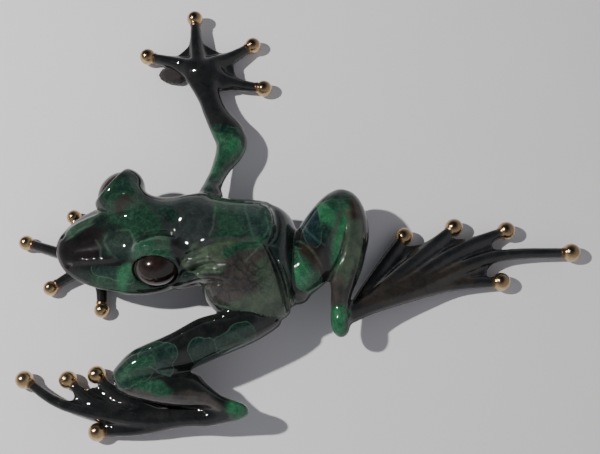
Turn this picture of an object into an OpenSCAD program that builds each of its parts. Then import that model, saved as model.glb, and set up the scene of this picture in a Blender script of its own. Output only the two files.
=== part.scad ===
// Cast-metal tree frog figurine, climbing pose, assembled from separate castings.
// Head towards -X, back up, resting on its toe tips and one palm pad. Millimetres.

/* [Body] */
// Height of the crest of the back above the surface it rests on
back_height = 28; // [26:0.5:30]
// Height of the underside of the belly
belly_height = 6.5; // [6:0.5:8]
// Width of the torso from flank to flank
torso_width = 44; // [42:0.5:46]
// Wall left round the hollow of the torso
torso_wall = 3.5; // [3:0.5:5]
// Radius of the round plug that closes the core hole in the belly
plug_r = 5; // [4:0.5:6]

/* [Head] */
// Length of the head from between the eyes to the snout
snout_length = 29.5; // [28:0.5:30]
// Width of the head across the corners of the mouth
head_width = 41; // [39:0.5:42]
// Turn of the head away from the body's axis, in degrees
head_yaw = 19; // [17:1:21]
// Underside of the jaw
jaw_height = 8.6; // [8.4:0.1:9]
// Radius of the round eye beads
eye_r = 7.0; // [6.7:0.1:7.1]
// Radius of the brow that holds each eye
brow_r = 6.6; // [6.4:0.1:6.8]

/* [Limbs] */
// Radius of the ball at the end of each toe
toe_ball_r = 2.85; // [2.7:0.05:2.85]
// Radius of the ball at the end of each finger
finger_ball_r = 2.7; // [2.5:0.05:2.7]
// Thickness of the webs between fingers and toes
web_t = 1.2; // [0.8:0.1:1.6]
// Radius of a finger or toe where it meets its ball
toe_r = 1.35; // [1.2:0.05:1.6]

/* [Pins] */
// Radius of the pin through the neck joint
neck_pin_r = 2.5; // [2:0.1:3]
// Radius of the pins in the hips
hip_pin_r = 2; // [1.5:0.1:2.2]
// Radius of the pins in the shoulders and knees
joint_pin_r = 1.4; // [1.2:0.1:1.5]
// Radius of the pins in the elbows and ankles
small_pin_r = 1; // [0.8:0.1:1.1]
// Gap round a pin in its hole
pin_gap = 0.04; // [0.02:0.01:0.1]

/* [Hidden] */
SIDES = 20;
LIMB_SIDES = 14;
TOE_SIDES = 8;
ROUND = 48;
BIG = 200;
EPS = 0.05;
// Stretches that each pair of stations of a limb or body is smoothed into
STEPS = 2;
LEFT = 0;
RIGHT = 1;

GREEN = [0.07, 0.33, 0.19];
BLACK = [0.03, 0.03, 0.03];
GOLD = [0.72, 0.50, 0.24];
EYE = [0.06, 0.03, 0.02];
BROWN = [0.30, 0.17, 0.12];
METAL = [0.70, 0.55, 0.33];

// Centre of the neck joint, the turn of its plane, and its section
neck = [-36, -14.2, 0];
neck_yaw = head_yaw / 2;
neck_half = 16;
neck_drop = 3;
neck_top = back_height - neck_drop;
neck_mid = 16;
neck_bottom = 9;

// Point between the eyes, from which the head is laid out towards the snout
brow_centre = [-55.4, -12.4, 0];
// Along the snout and width as parts of their size, then crown, rise of the jaw and
// the sideways drift of the head's middle towards its left
head_plan = [
    [-0.38, 0.79, 24.6, 0.3, 5.4],
    [-0.10, 0.90, 23.2, 0.1, 3.8],
    [0.17, 0.88, 21.8, 0, 3.0],
    [0.42, 0.79, 20.2, 0, 2.3],
    [0.66, 0.66, 18.6, 0, 1.1],
    [0.84, 0.48, 17.2, 0.2, 0.2],
    [0.95, 0.31, 15.8, 0.7, -0.5],
    [1.00, 0.12, 14.0, 2.2, -1.0]
];
jaw_line = 12.2;
// Place of each eye ahead of, beside and above the brow centre's foot: left, then right
eye_ahead = [-2.2, 2.4];
eye_beside = [14.2, -14.6];
eye_up = 17.6;
// How far each brow lies behind, inside and above its eye: left, then right
brow_back = [0.4, 2.8];
brow_inset = [5.2, 3.0];
brow_up = [3.0, 2.6];

// Along, across and half the width of the torso, then its crest, waist and belly
torso_plan = [
    [-32.5, -17.0, 0.82, -1.8, 15.8, 1.4],
    [-28.5, -20.0, 0.93, -0.8, 15.5, 0.6],
    [-23.0, -22.0, 0.98, -0.2, 15.5, 0.2],
    [-16.0, -22.8, 1.00, 0, 15.5, 0],
    [-10.5, -23.2, 0.99, -0.4, 15.5, 0],
    [-6.0, -23.9, 0.92, -2, 15, 0.4],
    [-2.6, -24.4, 0.80, -6, 14.2, 1.2],
    [-0.6, -24.6, 0.58, -10, 13.4, 2.4],
    [0.3, -24.2, 0.30, -13, 12.6, 4.4]
];

// How flat the crown of a body section is above its widest level, and how full its underside
crown_power = 1.15;
belly_power = 0.8;
// Metal left beyond the wall at the sides and at the two ends of the hollow
side_extra = 1;
end_extra = 3;
// Middle of the belly plug, and how far it reaches past the wall
plug_centre = [-16, -22.8];
plug_reach = 2;

// Middle line of each limb: x, y, z, half width, half height
right_arm = [
    [-30.5, -3.0, 13.2, 4.4, 5.0],
    [-31.2, 4.0, 11.4, 3.7, 4.4],
    [-29.6, 10.0, 9.8, 3.1, 4.0],
    [-27.6, 15.5, 8.7, 3.9, 3.9],
    [-25.4, 20.5, 8.1, 5.4, 3.9],
    [-24.6, 25.5, 7.6, 6.2, 3.8],
    [-27.0, 30.4, 7.3, 6.0, 3.6],
    [-29.8, 34.8, 7.0, 5.0, 3.3],
    [-32.0, 39.4, 6.6, 4.6, 3.0],
    [-33.6, 44.0, 6.2, 4.6, 2.8],
    [-35.4, 49.0, 6.0, 5.6, 2.7],
    [-36.6, 54.0, 5.6, 7.2, 2.5],
    [-37.2, 58.6, 5.2, 5.4, 2.1],
    [-37.6, 61.4, 5.0, 2.4, 1.4]
];
right_elbow = 6;
left_arm = [
    [-26.0, -23.6, 12.0, 4.6, 5.0],
    [-31.0, -24.0, 9.6, 4.4, 4.6],
    [-37.0, -23.8, 6.0, 4.2, 3.4],
    [-45.0, -22.8, 4.4, 4.0, 2.7],
    [-55.0, -21.6, 4.0, 3.6, 2.4],
    [-64.0, -20.8, 3.9, 3.8, 2.3],
    [-71.5, -20.4, 3.8, 5.4, 2.2],
    [-75.8, -19.8, 3.7, 4.2, 1.9],
    [-78.6, -19.2, 3.6, 2.0, 1.3]
];
left_elbow = 3;
right_thigh_line = [
    [-4.2, -32.0, 13.4, 7.0, 6.5],
    [1.2, -26.5, 14.0, 9.0, 8.0],
    [6.6, -18.2, 14.6, 9.4, 8.6],
    [10.8, -9.0, 15.0, 8.0, 8.0],
    [14.2, -1.8, 15.0, 5.6, 6.4],
    [16.2, 2.4, 14.8, 2.2, 3.0]
];
right_shank_line = [
    [16.4, 2.2, 14.6, 1.8, 3.0],
    [17.6, -2.2, 14.8, 4.4, 6.2],
    [18.6, -9.5, 15.2, 5.8, 7.6],
    [18.2, -17.5, 15.2, 6.2, 7.4],
    [16.8, -25.5, 14.8, 5.4, 6.4],
    [14.8, -33.0, 14.2, 4.0, 5.0],
    [14.0, -39.5, 13.6, 3.1, 4.0],
    [14.2, -44.6, 13.2, 3.5, 4.2],
    [14.6, -48.4, 13.0, 2.6, 3.2],
    [14.8, -49.8, 13.0, 1.0, 1.4]
];
left_thigh_line = [
    [-6.5, -41.0, 13.8, 4.2, 5.6],
    [-15.0, -45.4, 14.3, 5.6, 6.8],
    [-23.0, -48.0, 14.7, 6.8, 7.6],
    [-31.0, -50.6, 15.0, 7.5, 8.0],
    [-46.0, -57.0, 15.2, 7.3, 7.8],
    [-54.6, -61.2, 15.2, 5.5, 6.4],
    [-60.8, -64.3, 15.0, 2.2, 2.8]
];
left_shank_line = [
    [-60.4, -65.4, 14.2, 1.6, 2.4],
    [-56.0, -65.4, 13.8, 4.2, 5.2],
    [-47.0, -65.9, 13.5, 5.8, 6.0],
    [-38.0, -66.8, 13.3, 6.0, 5.8],
    [-32.5, -68.0, 13.2, 5.1, 5.0],
    [-29.0, -69.4, 13.1, 3.8, 4.2],
    [-26.0, -71.2, 13.1, 2.7, 3.4],
    [-22.5, -73.2, 13.2, 2.9, 3.6],
    [-18.5, -74.2, 13.4, 2.9, 3.4],
    [-15.8, -74.3, 13.5, 1.2, 1.6]
];

// Vertical planes that part thigh from shank: a point and a turn about Z, in degrees
right_knee_cut = [16.4, 2.4, 80.5];
left_knee_cut = [-60.4, -64.6, 10];

// Where the fingers and toes spread from, and the ankle end of each foot
right_palm = [-36.8, 55.6, 5.4];
left_palm = [-72.6, -20.4, 3.8];
right_foot_root = [18.6, -40.2, 10.6];
right_foot_heel = [15.0, -43.4, 12.8];
left_foot_root = [-30.8, -75.6, 9.0];
left_foot_heel = [-20.4, -74.4, 12.6];

// Fingers and toes: two points on the way out, then the middle of the ball at the
// end; each row of them runs clockwise as seen from above
right_fingers = [
    [[-42.6, 58.6, 4.8], [-49.0, 60.6, 4.2], [-58.3, 63.4, 3.2]],
    [[-38.2, 62.0, 5.0], [-39.8, 68.0, 4.8], [-40.6, 79.7, 4.2]],
    [[-32.6, 59.8, 4.8], [-26.6, 62.4, 4.2], [-17.8, 68.6, 2.7]],
    [[-31.6, 53.6, 4.8], [-22.8, 50.6, 4.0], [-13.2, 49.8, 2.7]]
];
left_fingers = [
    [[-71.6, -25.2, 3.5], [-69.6, -30.0, 3.2], [-68.9, -37.4, 2.7]],
    [[-77.0, -23.2, 3.5], [-81.8, -25.8, 3.2], [-87.5, -29.4, 2.7]],
    [[-79.0, -18.8, 3.5], [-87.0, -16.0, 3.2], [-97.8, -12.5, 2.7]],
    [[-75.4, -15.8, 3.5], [-78.0, -11.0, 3.2], [-81.5, -2.6, 2.7]]
];
right_toes = [
    [[23.6, -31.4, 7.4], [30.8, -20.4, 4.8], [38.0, -10.3, 2.85]],
    [[29.6, -30.6, 7.8], [44.6, -17.2, 4.8], [56.2, -6.8, 2.85]],
    [[36.4, -30.2, 7.5], [56.6, -16.2, 4.6], [75.0, -8.0, 2.85]],
    [[41.6, -31.0, 7.2], [68.6, -18.4, 4.2], [97.65, -16.3, 2.85]],
    [[33.5, -34.8, 7.2], [52.7, -29.0, 4.4], [71.8, -27.2, 2.85]]
];
left_toes = [
    [[-42.6, -77.2, 6.6], [-54.5, -79.2, 4.4], [-67.2, -79.55, 2.85]],
    [[-52.6, -76.2, 6.2], [-78.6, -70.9, 4.0], [-93.4, -62.0, 2.85]],
    [[-51.0, -75.0, 6.0], [-68.6, -70.0, 4.0], [-78.6, -62.0, 2.85]],
    [[-47.8, -73.6, 5.8], [-60.3, -68.2, 3.8], [-68.9, -60.3, 2.85]],
    [[-42.3, -71.6, 5.4], [-50.3, -65.6, 3.4], [-55.4, -59.8, 2.85]]
];
// Radius of a finger and of a toe at its root, what is left of it at the first bend, and its
// swelling at the second one; then how deep its end is set in the ball, as a part of the radius
finger_root_r = 2.1;
toe_root_r = 2.0;
first_bend = 0.9;
second_bend = 1.15;
ball_set = 0.6;
// Half width and half height of a foot from its heel to the middle toe
instep_sizes = [[2.6, 3.0], [2.9, 2.8], [3.3, 2.5], [3.2, 1.9]];
// Rows in a web, where along the toes it starts, and how far its free edge is hollowed
web_rows = 4;
web_start = 0.22;
web_hollow = 0.82;
// How far the web reaches along each finger or toe
hand_webs = [0.56, 0.58, 0.56, 0.56];
right_foot_webs = [0.84, 0.84, 0.82, 0.68, 0.84];
left_foot_webs = [0.84, 0.68, 0.82, 0.84, 0.84];

// Underside pad of the raised palm: its middle, size and the turn of its long side
pad_size = [11.0, 5.6, 3.6];
pad_centre = [-48.0, 56.2, 0];
pad_turn = 16;

// Pins: middle, direction and length
neck_pin = [neck + [0, 0, 16.5], [cos(neck_yaw), sin(neck_yaw), 0], 14];
shoulder_pins_at = [
    [[-31.0, 1.6, 12.0], [-0.1, 1, -0.25], 8],
    [[-31.5, -24.0, 9.3], [-1, 0, -0.6], 7]
];
elbow_pins_at = [
    [[-27.0, 30.4, 7.3], [-0.53, 0.94, -0.06], 7],
    [[-45.0, -22.8, 4.4], [-1, 0.12, -0.1], 7]
];
hip_pins_at = [
    [[-1.2, -28.8, 13.7], [0.7, 0.72, 0.06], 11],
    [[-13.8, -44.8, 14.1], [-0.84, -0.52, 0.05], 11]
];
knee_pins_at = [
    [[15.0, -4.6, 15.0], [1, -0.17, 0], 5.6],
    [[-54.0, -63.6, 14.4], [-0.17, -1, 0], 5.6]
];
ankle_pins_at = [
    [[17.0, -42.2, 12.0], [0.7, 0.6, -0.4], 5],
    [[-24.0, -75.0, 11.8], [-0.9, -0.3, -0.45], 5]
];

// ---- shared geometry -------------------------------------------------------

function unit(v) = v / norm(v);
function dirs(yaw) = [[-cos(yaw), -sin(yaw), 0], [sin(yaw), -cos(yaw), 0]];
function flat(lists) = [for (l = lists) for (p = l) p];
function part_of(list, first, last) = [for (i = [first : last]) list[i]];
function at(list, i) = list[max(0, min(len(list) - 1, i))];

// Value of a smooth curve through a, b, c, d, between b and c
function curve(a, b, c, d, t) =
    0.5 * (2 * b + (c - a) * t + (2 * a - 5 * b + 4 * c - d) * t * t + (3 * b - a - 3 * c + d) * t * t * t);
// The stations of a line, with steps - 1 more between each pair
function smooth(line, steps) = concat(
    [for (i = [0 : len(line) - 2]) for (k = [0 : steps - 1])
        curve(at(line, i - 1), line[i], line[i + 1], at(line, i + 2), k / steps)],
    [line[len(line) - 1]]
);
function point(station) = [station[0], station[1], station[2]];
function heading(line, i) = unit(point(at(line, i + 1)) - point(at(line, i - 1)));
// Oval ring round one station of a limb, square to the limb
function limb_ring(line, i, sides) =
    let (t = heading(line, i), s = unit(cross([0, 0, 1], t)), u = cross(t, s))
    [for (k = [0 : sides - 1])
        let (turn = 360 * k / sides)
        point(line[i]) + s * line[i][3] * cos(turn) + u * line[i][4] * sin(turn)];
function limb_rings(line, sides) = [for (i = [0 : len(line) - 1]) limb_ring(line, i, sides)];
// Upright ring with its own half width, crown, widest level and underside
function body_ring(middle, yaw, half, top, mid, bottom) =
    let (side = dirs(yaw)[1])
    [for (k = [0 : SIDES - 1])
        let (turn = 360 * k / SIDES, rise = sin(turn))
        [middle[0], middle[1], mid] + side * half * cos(turn)
            + [0, 0, rise > 0
                ? (top - mid) * pow(rise, crown_power)
                : (mid - bottom) * -pow(-rise, belly_power)]];

// Closed skin through a row of rings that turn anticlockwise as seen from the last ring
module loft(rings) {
    n = len(rings[0]);
    last = len(rings) - 1;
    walls = [for (i = [0 : last - 1]) for (k = [0 : n - 1]) for (half = [0, 1])
        let (a = i * n + k, b = i * n + (k + 1) % n)
        half == 0 ? [a, b + n, b] : [a, a + n, b + n]];
    ends = [[for (k = [0 : n - 1]) k], [for (k = [0 : n - 1]) last * n + n - 1 - k]];
    polyhedron(points = flat(rings), faces = concat(walls, ends));
}

module limb(line, sides = LIMB_SIDES) {
    loft(limb_rings(line, sides));
}

// Half of space on the left of an upright plane through cut, which runs at the turn cut[2]
module beside(cut, left = true) {
    translate([cut[0], cut[1], 0])
        rotate([0, 0, cut[2]])
            translate([-BIG / 2, left ? 0 : -BIG, -BIG / 2])
                cube(BIG);
}

module rod(pin, r, extra = 0) {
    direction = unit(pin[1]);
    translate(pin[0])
        rotate([0, acos(direction[2]), atan2(direction[1], direction[0])])
            cylinder(r = r, h = pin[2] + extra, center = true, $fn = ROUND);
}

module balls(centres, r) {
    for (c = centres)
        translate(c)
            sphere(r = r, $fn = ROUND);
}

// ---- torso ------------------------------------------------------------------

neck_ring = body_ring(neck, neck_yaw, neck_half, neck_top, neck_mid, neck_bottom);

function torso_ring(p, shrink) = body_ring(
    [p[0], p[1], 0], 0,
    p[2] * torso_width / 2 - shrink,
    back_height + p[3] - shrink,
    p[4],
    belly_height + p[5] + shrink
);

module torso_skin() {
    rings = concat([neck_ring], [for (p = smooth(torso_plan, STEPS)) torso_ring(p, 0)]);
    loft([for (i = [len(rings) - 1 : -1 : 0]) rings[i]]);
}

module torso_hollow() {
    inner = part_of(torso_plan, 1, 5);
    rings = [for (i = [0 : len(inner) - 1])
        torso_ring(inner[i], torso_wall + (i == 0 || i == len(inner) - 1 ? end_extra : side_extra))];
    loft([for (i = [len(rings) - 1 : -1 : 0]) rings[i]]);
}

module plug(r, low) {
    translate(concat(plug_centre, low))
        cylinder(r = r, h = belly_height + torso_wall + plug_reach - low, $fn = ROUND);
}

module torso_casting() {
    color(GREEN)
        difference() {
            torso_skin();
            torso_hollow();
            plug(plug_r + pin_gap, 0);
            rod(neck_pin, neck_pin_r + pin_gap, EPS);
            for (p = shoulder_pins_at)
                rod(p, joint_pin_r + pin_gap, EPS);
            for (p = hip_pins_at)
                rod(p, hip_pin_r + pin_gap, EPS);
        }
}

module belly_plug() {
    color(METAL)
        plug(plug_r, belly_height);
}

// ---- head -------------------------------------------------------------------

function head_ring(p) = body_ring(
    brow_centre + dirs(head_yaw)[0] * p[0] * snout_length + dirs(head_yaw)[1] * p[4], head_yaw,
    p[1] * head_width / 2, p[2], jaw_line, jaw_height + p[3]
);
function beside_head(ahead, beside, up) =
    brow_centre + dirs(head_yaw)[0] * ahead + dirs(head_yaw)[1] * beside + [0, 0, up];

// A sphere with its poles on a level line across the head, clear of the spheres that meet it
module bead(r) {
    rotate([90, 0, head_yaw])
        sphere(r = r, $fn = ROUND);
}

module eye(side) {
    translate(beside_head(eye_ahead[side], eye_beside[side], eye_up))
        bead(eye_r);
}

module brow(side) {
    inward = eye_beside[side] - sign(eye_beside[side]) * brow_inset[side];
    translate(beside_head(eye_ahead[side] - brow_back[side], inward, eye_up + brow_up[side]))
        bead(brow_r);
}

module head_casting() {
    color(GREEN)
        difference() {
            union() {
                loft(concat([neck_ring], [for (p = smooth(head_plan, STEPS)) head_ring(p)]));
                for (side = [LEFT, RIGHT])
                    brow(side);
            }
            for (side = [LEFT, RIGHT])
                eye(side);
            rod(neck_pin, neck_pin_r + pin_gap, EPS);
        }
}

module left_eye() {
    color(EYE) eye(LEFT);
}

module right_eye() {
    color(EYE) eye(RIGHT);
}

// ---- arms -------------------------------------------------------------------

right_arm_rings = limb_rings(smooth(right_arm, STEPS), LIMB_SIDES);
left_arm_rings = limb_rings(smooth(left_arm, STEPS), LIMB_SIDES);

// One finger or toe from where it leaves the palm or foot to just inside its ball
function toe_line(root, toe, root_r) =
    let (out = unit(toe[2] - toe[1]), end = toe[2] - out * toe_ball_r * ball_set)
    [
        concat(root, [root_r, root_r]),
        concat(toe[0], [root_r * first_bend, root_r * first_bend]),
        concat(toe[1], [toe_r * second_bend, toe_r * second_bend]),
        concat(end, [toe_r, toe_r])
    ];
// Point a part t of the way along a line of stations
function along(line, t) =
    let (f = t * (len(line) - 1), i = min(len(line) - 2, floor(f)))
    point(line[i]) + (point(line[i + 1]) - point(line[i])) * (f - i);

// Thin web stretched over a row of toes, hollowed between them at its free edge
module fan(lines, reach) {
    cols = 2 * len(lines) - 1;
    function spot(k, c) =
        let (i = floor(c / 2), t = web_start + (1 - web_start) * k / web_rows, inner = t * web_hollow)
        c % 2 == 0 ? along(lines[i], t * reach[i])
            : (along(lines[i], inner * reach[i]) + along(lines[i + 1], inner * reach[i + 1])) / 2;
    layer = [for (k = [0 : web_rows]) for (c = [0 : cols - 1]) spot(k, c)];
    n = len(layer);
    half = [0, 0, web_t / 2];
    sheet = [for (k = [0 : web_rows - 1]) for (c = [0 : cols - 2])
        let (a = cols * k + c)
        each [[a, a + cols, a + 1], [a + 1, a + cols, a + cols + 1]]];
    rim = concat(
        [for (c = [0 : cols - 1]) c],
        [for (k = [1 : web_rows]) cols * k + cols - 1],
        [for (c = [cols - 2 : -1 : 0]) cols * web_rows + c],
        [for (k = [web_rows - 1 : -1 : 1]) cols * k]
    );
    walls = [for (i = [0 : len(rim) - 1])
        let (a = rim[i], b = rim[(i + 1) % len(rim)])
        each [[a, b, b + n], [a, b + n, a + n]]];
    polyhedron(
        points = concat([for (p = layer) p + half], [for (p = layer) p - half]),
        faces = concat(sheet, [for (f = sheet) [f[0] + n, f[2] + n, f[1] + n]], walls)
    );
}

module toes(root, list, root_r, reach) {
    lines = [for (toe = list) smooth(toe_line(root, toe, root_r), STEPS)];
    for (line = lines)
        limb(line, TOE_SIDES);
    fan(lines, reach);
}

function ends(list) = [for (toe = list) toe[2]];

module right_upper_arm() {
    color(GREEN)
        difference() {
            loft(part_of(right_arm_rings, 0, right_elbow * STEPS));
            torso_skin();
            rod(shoulder_pins_at[0], joint_pin_r + pin_gap, EPS);
            rod(elbow_pins_at[0], small_pin_r + pin_gap, EPS);
        }
}

module hand(rings, root, fingers, elbow_pin) {
    difference() {
        union() {
            loft(rings);
            toes(root, fingers, finger_root_r, hand_webs);
        }
        balls(ends(fingers), finger_ball_r);
        rod(elbow_pin, small_pin_r + pin_gap, EPS);
    }
}

module right_forearm_and_hand() {
    color(BLACK)
        difference() {
            hand(
                part_of(right_arm_rings, right_elbow * STEPS, len(right_arm_rings) - 1),
                right_palm, right_fingers, elbow_pins_at[0]
            );
            pad_block();
        }
}

module left_upper_arm() {
    color(GREEN)
        difference() {
            loft(part_of(left_arm_rings, 0, left_elbow * STEPS));
            torso_skin();
            rod(shoulder_pins_at[1], joint_pin_r + pin_gap, EPS);
            rod(elbow_pins_at[1], small_pin_r + pin_gap, EPS);
        }
}

module left_forearm_and_hand() {
    color(BLACK)
        hand(
            part_of(left_arm_rings, left_elbow * STEPS, len(left_arm_rings) - 1),
            left_palm, left_fingers, elbow_pins_at[1]
        );
}

module pad_block() {
    translate(pad_centre)
        rotate([0, 0, pad_turn])
            translate([-pad_size[0] / 2, -pad_size[1] / 2, 0])
                cube(pad_size);
}

module palm_pad() {
    color(BROWN) pad_block();
}

module right_hand_tips() {
    color(GOLD) balls(ends(right_fingers), finger_ball_r);
}

module left_hand_tips() {
    color(GOLD) balls(ends(left_fingers), finger_ball_r);
}

// ---- legs -------------------------------------------------------------------

module thigh(line, cut, hip_pin, knee_pin) {
    difference() {
        limb(smooth(line, STEPS));
        torso_skin();
        beside(cut, false);
        rod(hip_pin, hip_pin_r + pin_gap, EPS);
        rod(knee_pin, joint_pin_r + pin_gap, EPS);
    }
}

module shank(line, knee_cut, knee_pin, ankle_pin) {
    difference() {
        limb(smooth(line, STEPS));
        beside(knee_cut, true);
        rod(knee_pin, joint_pin_r + pin_gap, EPS);
        rod(ankle_pin, small_pin_r + pin_gap, EPS);
    }
}

module foot(heel, root, list, webs, shank_line, ankle_pin) {
    instep = [
        concat(heel, instep_sizes[0]),
        concat((heel + root) / 2, instep_sizes[1]),
        concat(root, instep_sizes[2]),
        concat((root + list[2][0]) / 2, instep_sizes[3])
    ];
    difference() {
        union() {
            limb(smooth(instep, STEPS));
            toes(root, list, toe_root_r, webs);
        }
        balls(ends(list), toe_ball_r);
        limb(smooth(shank_line, STEPS));
        rod(ankle_pin, small_pin_r + pin_gap, EPS);
    }
}

module right_thigh() {
    color(GREEN)
        thigh(right_thigh_line, right_knee_cut, hip_pins_at[0], knee_pins_at[0]);
}

module right_shank() {
    color(GREEN)
        shank(right_shank_line, right_knee_cut, knee_pins_at[0], ankle_pins_at[0]);
}

module right_foot() {
    color(BLACK)
        foot(
            right_foot_heel, right_foot_root, right_toes, right_foot_webs,
            right_shank_line, ankle_pins_at[0]
        );
}

module left_thigh() {
    color(GREEN)
        thigh(left_thigh_line, left_knee_cut, hip_pins_at[1], knee_pins_at[1]);
}

module left_shank() {
    color(GREEN)
        shank(left_shank_line, left_knee_cut, knee_pins_at[1], ankle_pins_at[1]);
}

module left_foot() {
    color(BLACK)
        foot(
            left_foot_heel, left_foot_root, left_toes, left_foot_webs,
            left_shank_line, ankle_pins_at[1]
        );
}

module right_foot_tips() {
    color(GOLD) balls(ends(right_toes), toe_ball_r);
}

module left_foot_tips() {
    color(GOLD) balls(ends(left_toes), toe_ball_r);
}

// ---- pins -------------------------------------------------------------------

module pins(list, r) {
    color(METAL)
        for (p = list)
            rod(p, r);
}

module neck_pin() {
    pins([neck_pin], neck_pin_r);
}

module shoulder_pins() {
    pins(shoulder_pins_at, joint_pin_r);
}

module elbow_pins() {
    pins(elbow_pins_at, small_pin_r);
}

module hip_pins() {
    pins(hip_pins_at, hip_pin_r);
}

module knee_pins() {
    pins(knee_pins_at, joint_pin_r);
}

module ankle_pins() {
    pins(ankle_pins_at, small_pin_r);
}

torso_casting();
belly_plug();
head_casting();
left_eye();
right_eye();
right_upper_arm();
right_forearm_and_hand();
right_hand_tips();
palm_pad();
left_upper_arm();
left_forearm_and_hand();
left_hand_tips();
right_thigh();
right_shank();
right_foot();
right_foot_tips();
left_thigh();
left_shank();
left_foot();
left_foot_tips();
neck_pin();
shoulder_pins();
elbow_pins();
hip_pins();
knee_pins();
ankle_pins();
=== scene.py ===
"""Looks of a cast-metal tree frog, round its CAD frame. Lengths are in millimetres until a mesh is made."""

import math

import bpy
import numpy as np
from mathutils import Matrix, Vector


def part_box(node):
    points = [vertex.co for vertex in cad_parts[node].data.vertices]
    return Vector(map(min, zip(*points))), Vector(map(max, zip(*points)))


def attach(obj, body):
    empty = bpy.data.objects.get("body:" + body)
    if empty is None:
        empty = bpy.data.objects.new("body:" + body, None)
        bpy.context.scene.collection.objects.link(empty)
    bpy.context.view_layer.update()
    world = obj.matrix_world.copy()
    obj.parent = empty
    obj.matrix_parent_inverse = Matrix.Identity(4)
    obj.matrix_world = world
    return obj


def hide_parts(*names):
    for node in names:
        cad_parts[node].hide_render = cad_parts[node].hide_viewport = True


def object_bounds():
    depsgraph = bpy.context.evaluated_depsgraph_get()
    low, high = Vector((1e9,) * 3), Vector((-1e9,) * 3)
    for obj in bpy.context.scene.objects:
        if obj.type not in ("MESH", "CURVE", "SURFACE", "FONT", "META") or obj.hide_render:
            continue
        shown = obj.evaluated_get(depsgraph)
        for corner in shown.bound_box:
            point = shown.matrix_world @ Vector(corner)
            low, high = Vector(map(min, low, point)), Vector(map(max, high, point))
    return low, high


MM = 0.001
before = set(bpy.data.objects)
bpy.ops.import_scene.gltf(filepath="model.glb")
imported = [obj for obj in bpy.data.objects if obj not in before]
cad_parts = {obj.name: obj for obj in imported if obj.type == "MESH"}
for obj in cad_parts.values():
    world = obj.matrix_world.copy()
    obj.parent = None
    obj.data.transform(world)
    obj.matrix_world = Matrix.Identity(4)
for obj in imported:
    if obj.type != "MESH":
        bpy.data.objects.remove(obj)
cad_low, cad_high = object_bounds()

# ---- the lattice that the skin is worked out on
STEP = 0.5
MARGIN = 2.4
FAR = 6.0
# Keeps the lattice's planes off the CAD's flat faces
LATTICE_SHIFT = 0.0137


class Lattice:
    """Evenly spaced points that fill the frog's box, with one signed distance each: below zero is metal."""

    def __init__(self, low, high):
        self.low = np.array(low, float) / MM - MARGIN + LATTICE_SHIFT
        self.count = np.ceil((np.array(high, float) / MM + MARGIN - self.low) / STEP).astype(int) + 1
        self.field = np.full(self.count, FAR, np.float32)

    def window(self, low, high):
        """The slices and the three coordinate arrays of the points inside a box."""
        first = np.clip(np.floor((np.array(low) - self.low) / STEP).astype(int), 0, self.count - 1)
        last = np.clip(np.ceil((np.array(high) - self.low) / STEP).astype(int) + 1, first + 1, self.count)
        cut = tuple(slice(a, b) for a, b in zip(first, last))
        axes = [self.low[i] + STEP * np.arange(first[i], last[i]) for i in range(3)]
        return cut, np.meshgrid(*axes, indexing="ij", sparse=True)


lattice = Lattice(cad_low, cad_high)


def soft_min(a, b, blend):
    """The smaller of two distances, rounded over a blend of that width."""
    share = np.clip(0.5 + 0.5 * (b - a) / blend, 0, 1)
    return b + (a - b) * share - blend * share * (1 - share)


def smooth_step(x, low, high):
    """0 below low and 1 above high, with a smooth rise between them."""
    t = np.clip((x - low) / (high - low), 0, 1)
    return t * t * (3 - 2 * t)


def unit(v):
    return v / np.linalg.norm(v)


def add(distance, cut, blend=1.0):
    """Joins a shape to the metal, softly over that many millimetres."""
    lattice.field[cut] = soft_min(lattice.field[cut], distance, blend)


def carve(distance, cut, blend=0.6):
    """Takes a shape out of the metal."""
    lattice.field[cut] = -soft_min(-lattice.field[cut], distance, blend)


# ---- castings taken from the CAD frame
def triangles(node):
    """The corners of a CAD node's triangles, in millimetres."""
    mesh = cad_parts[node].data
    mesh.calc_loop_triangles()
    co = np.zeros(len(mesh.vertices) * 3)
    mesh.vertices.foreach_get("co", co)
    ids = np.zeros(len(mesh.loop_triangles) * 3, int)
    mesh.loop_triangles.foreach_get("vertices", ids)
    return co.reshape(-1, 3)[ids].reshape(-1, 3, 3) / MM


BATCH = 200000


def crossings(tri, size):
    """Lattice column and height of each meeting of a column with a face, a batch of faces at a time."""
    low = np.ceil(tri[:, :, :2].min(1)).astype(int)
    wide = np.floor(tri[:, :, :2].max(1)).astype(int) - low + 1
    tri, low, wide = (a[(wide > 0).all(1)] for a in (tri, low, wide))
    number = wide[:, 0] * wide[:, 1]
    batch = np.cumsum(number) // BATCH
    for part in np.unique(batch):
        t, first, w, count = (a[batch == part] for a in (tri, low, wide, number))
        which = np.repeat(np.arange(len(t)), count)
        nth = np.arange(count.sum()) - np.repeat(np.cumsum(count) - count, count)
        ix = first[which, 0] + nth % w[which, 0]
        iy = first[which, 1] + nth // w[which, 0]
        ab, ac = (t[:, i] - t[:, 0] for i in (1, 2))
        area = ab[:, 0] * ac[:, 1] - ac[:, 0] * ab[:, 1]
        area = np.where(np.abs(area) < 1e-12, 1e-12, area)[which]
        dx, dy = ix - t[which, 0, 0], iy - t[which, 0, 1]
        v = (dx * ac[which, 1] - ac[which, 0] * dy) / area
        u = (ab[which, 0] * dy - dx * ab[which, 1]) / area
        met = (v > 0) & (u > 0) & (v + u < 1)
        z = (t[which, 0, 2] + v * ab[which, 2] + u * ac[which, 2])[met]
        yield ix[met], iy[met], np.clip(np.ceil(z), 0, size[2]).astype(int)


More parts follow.
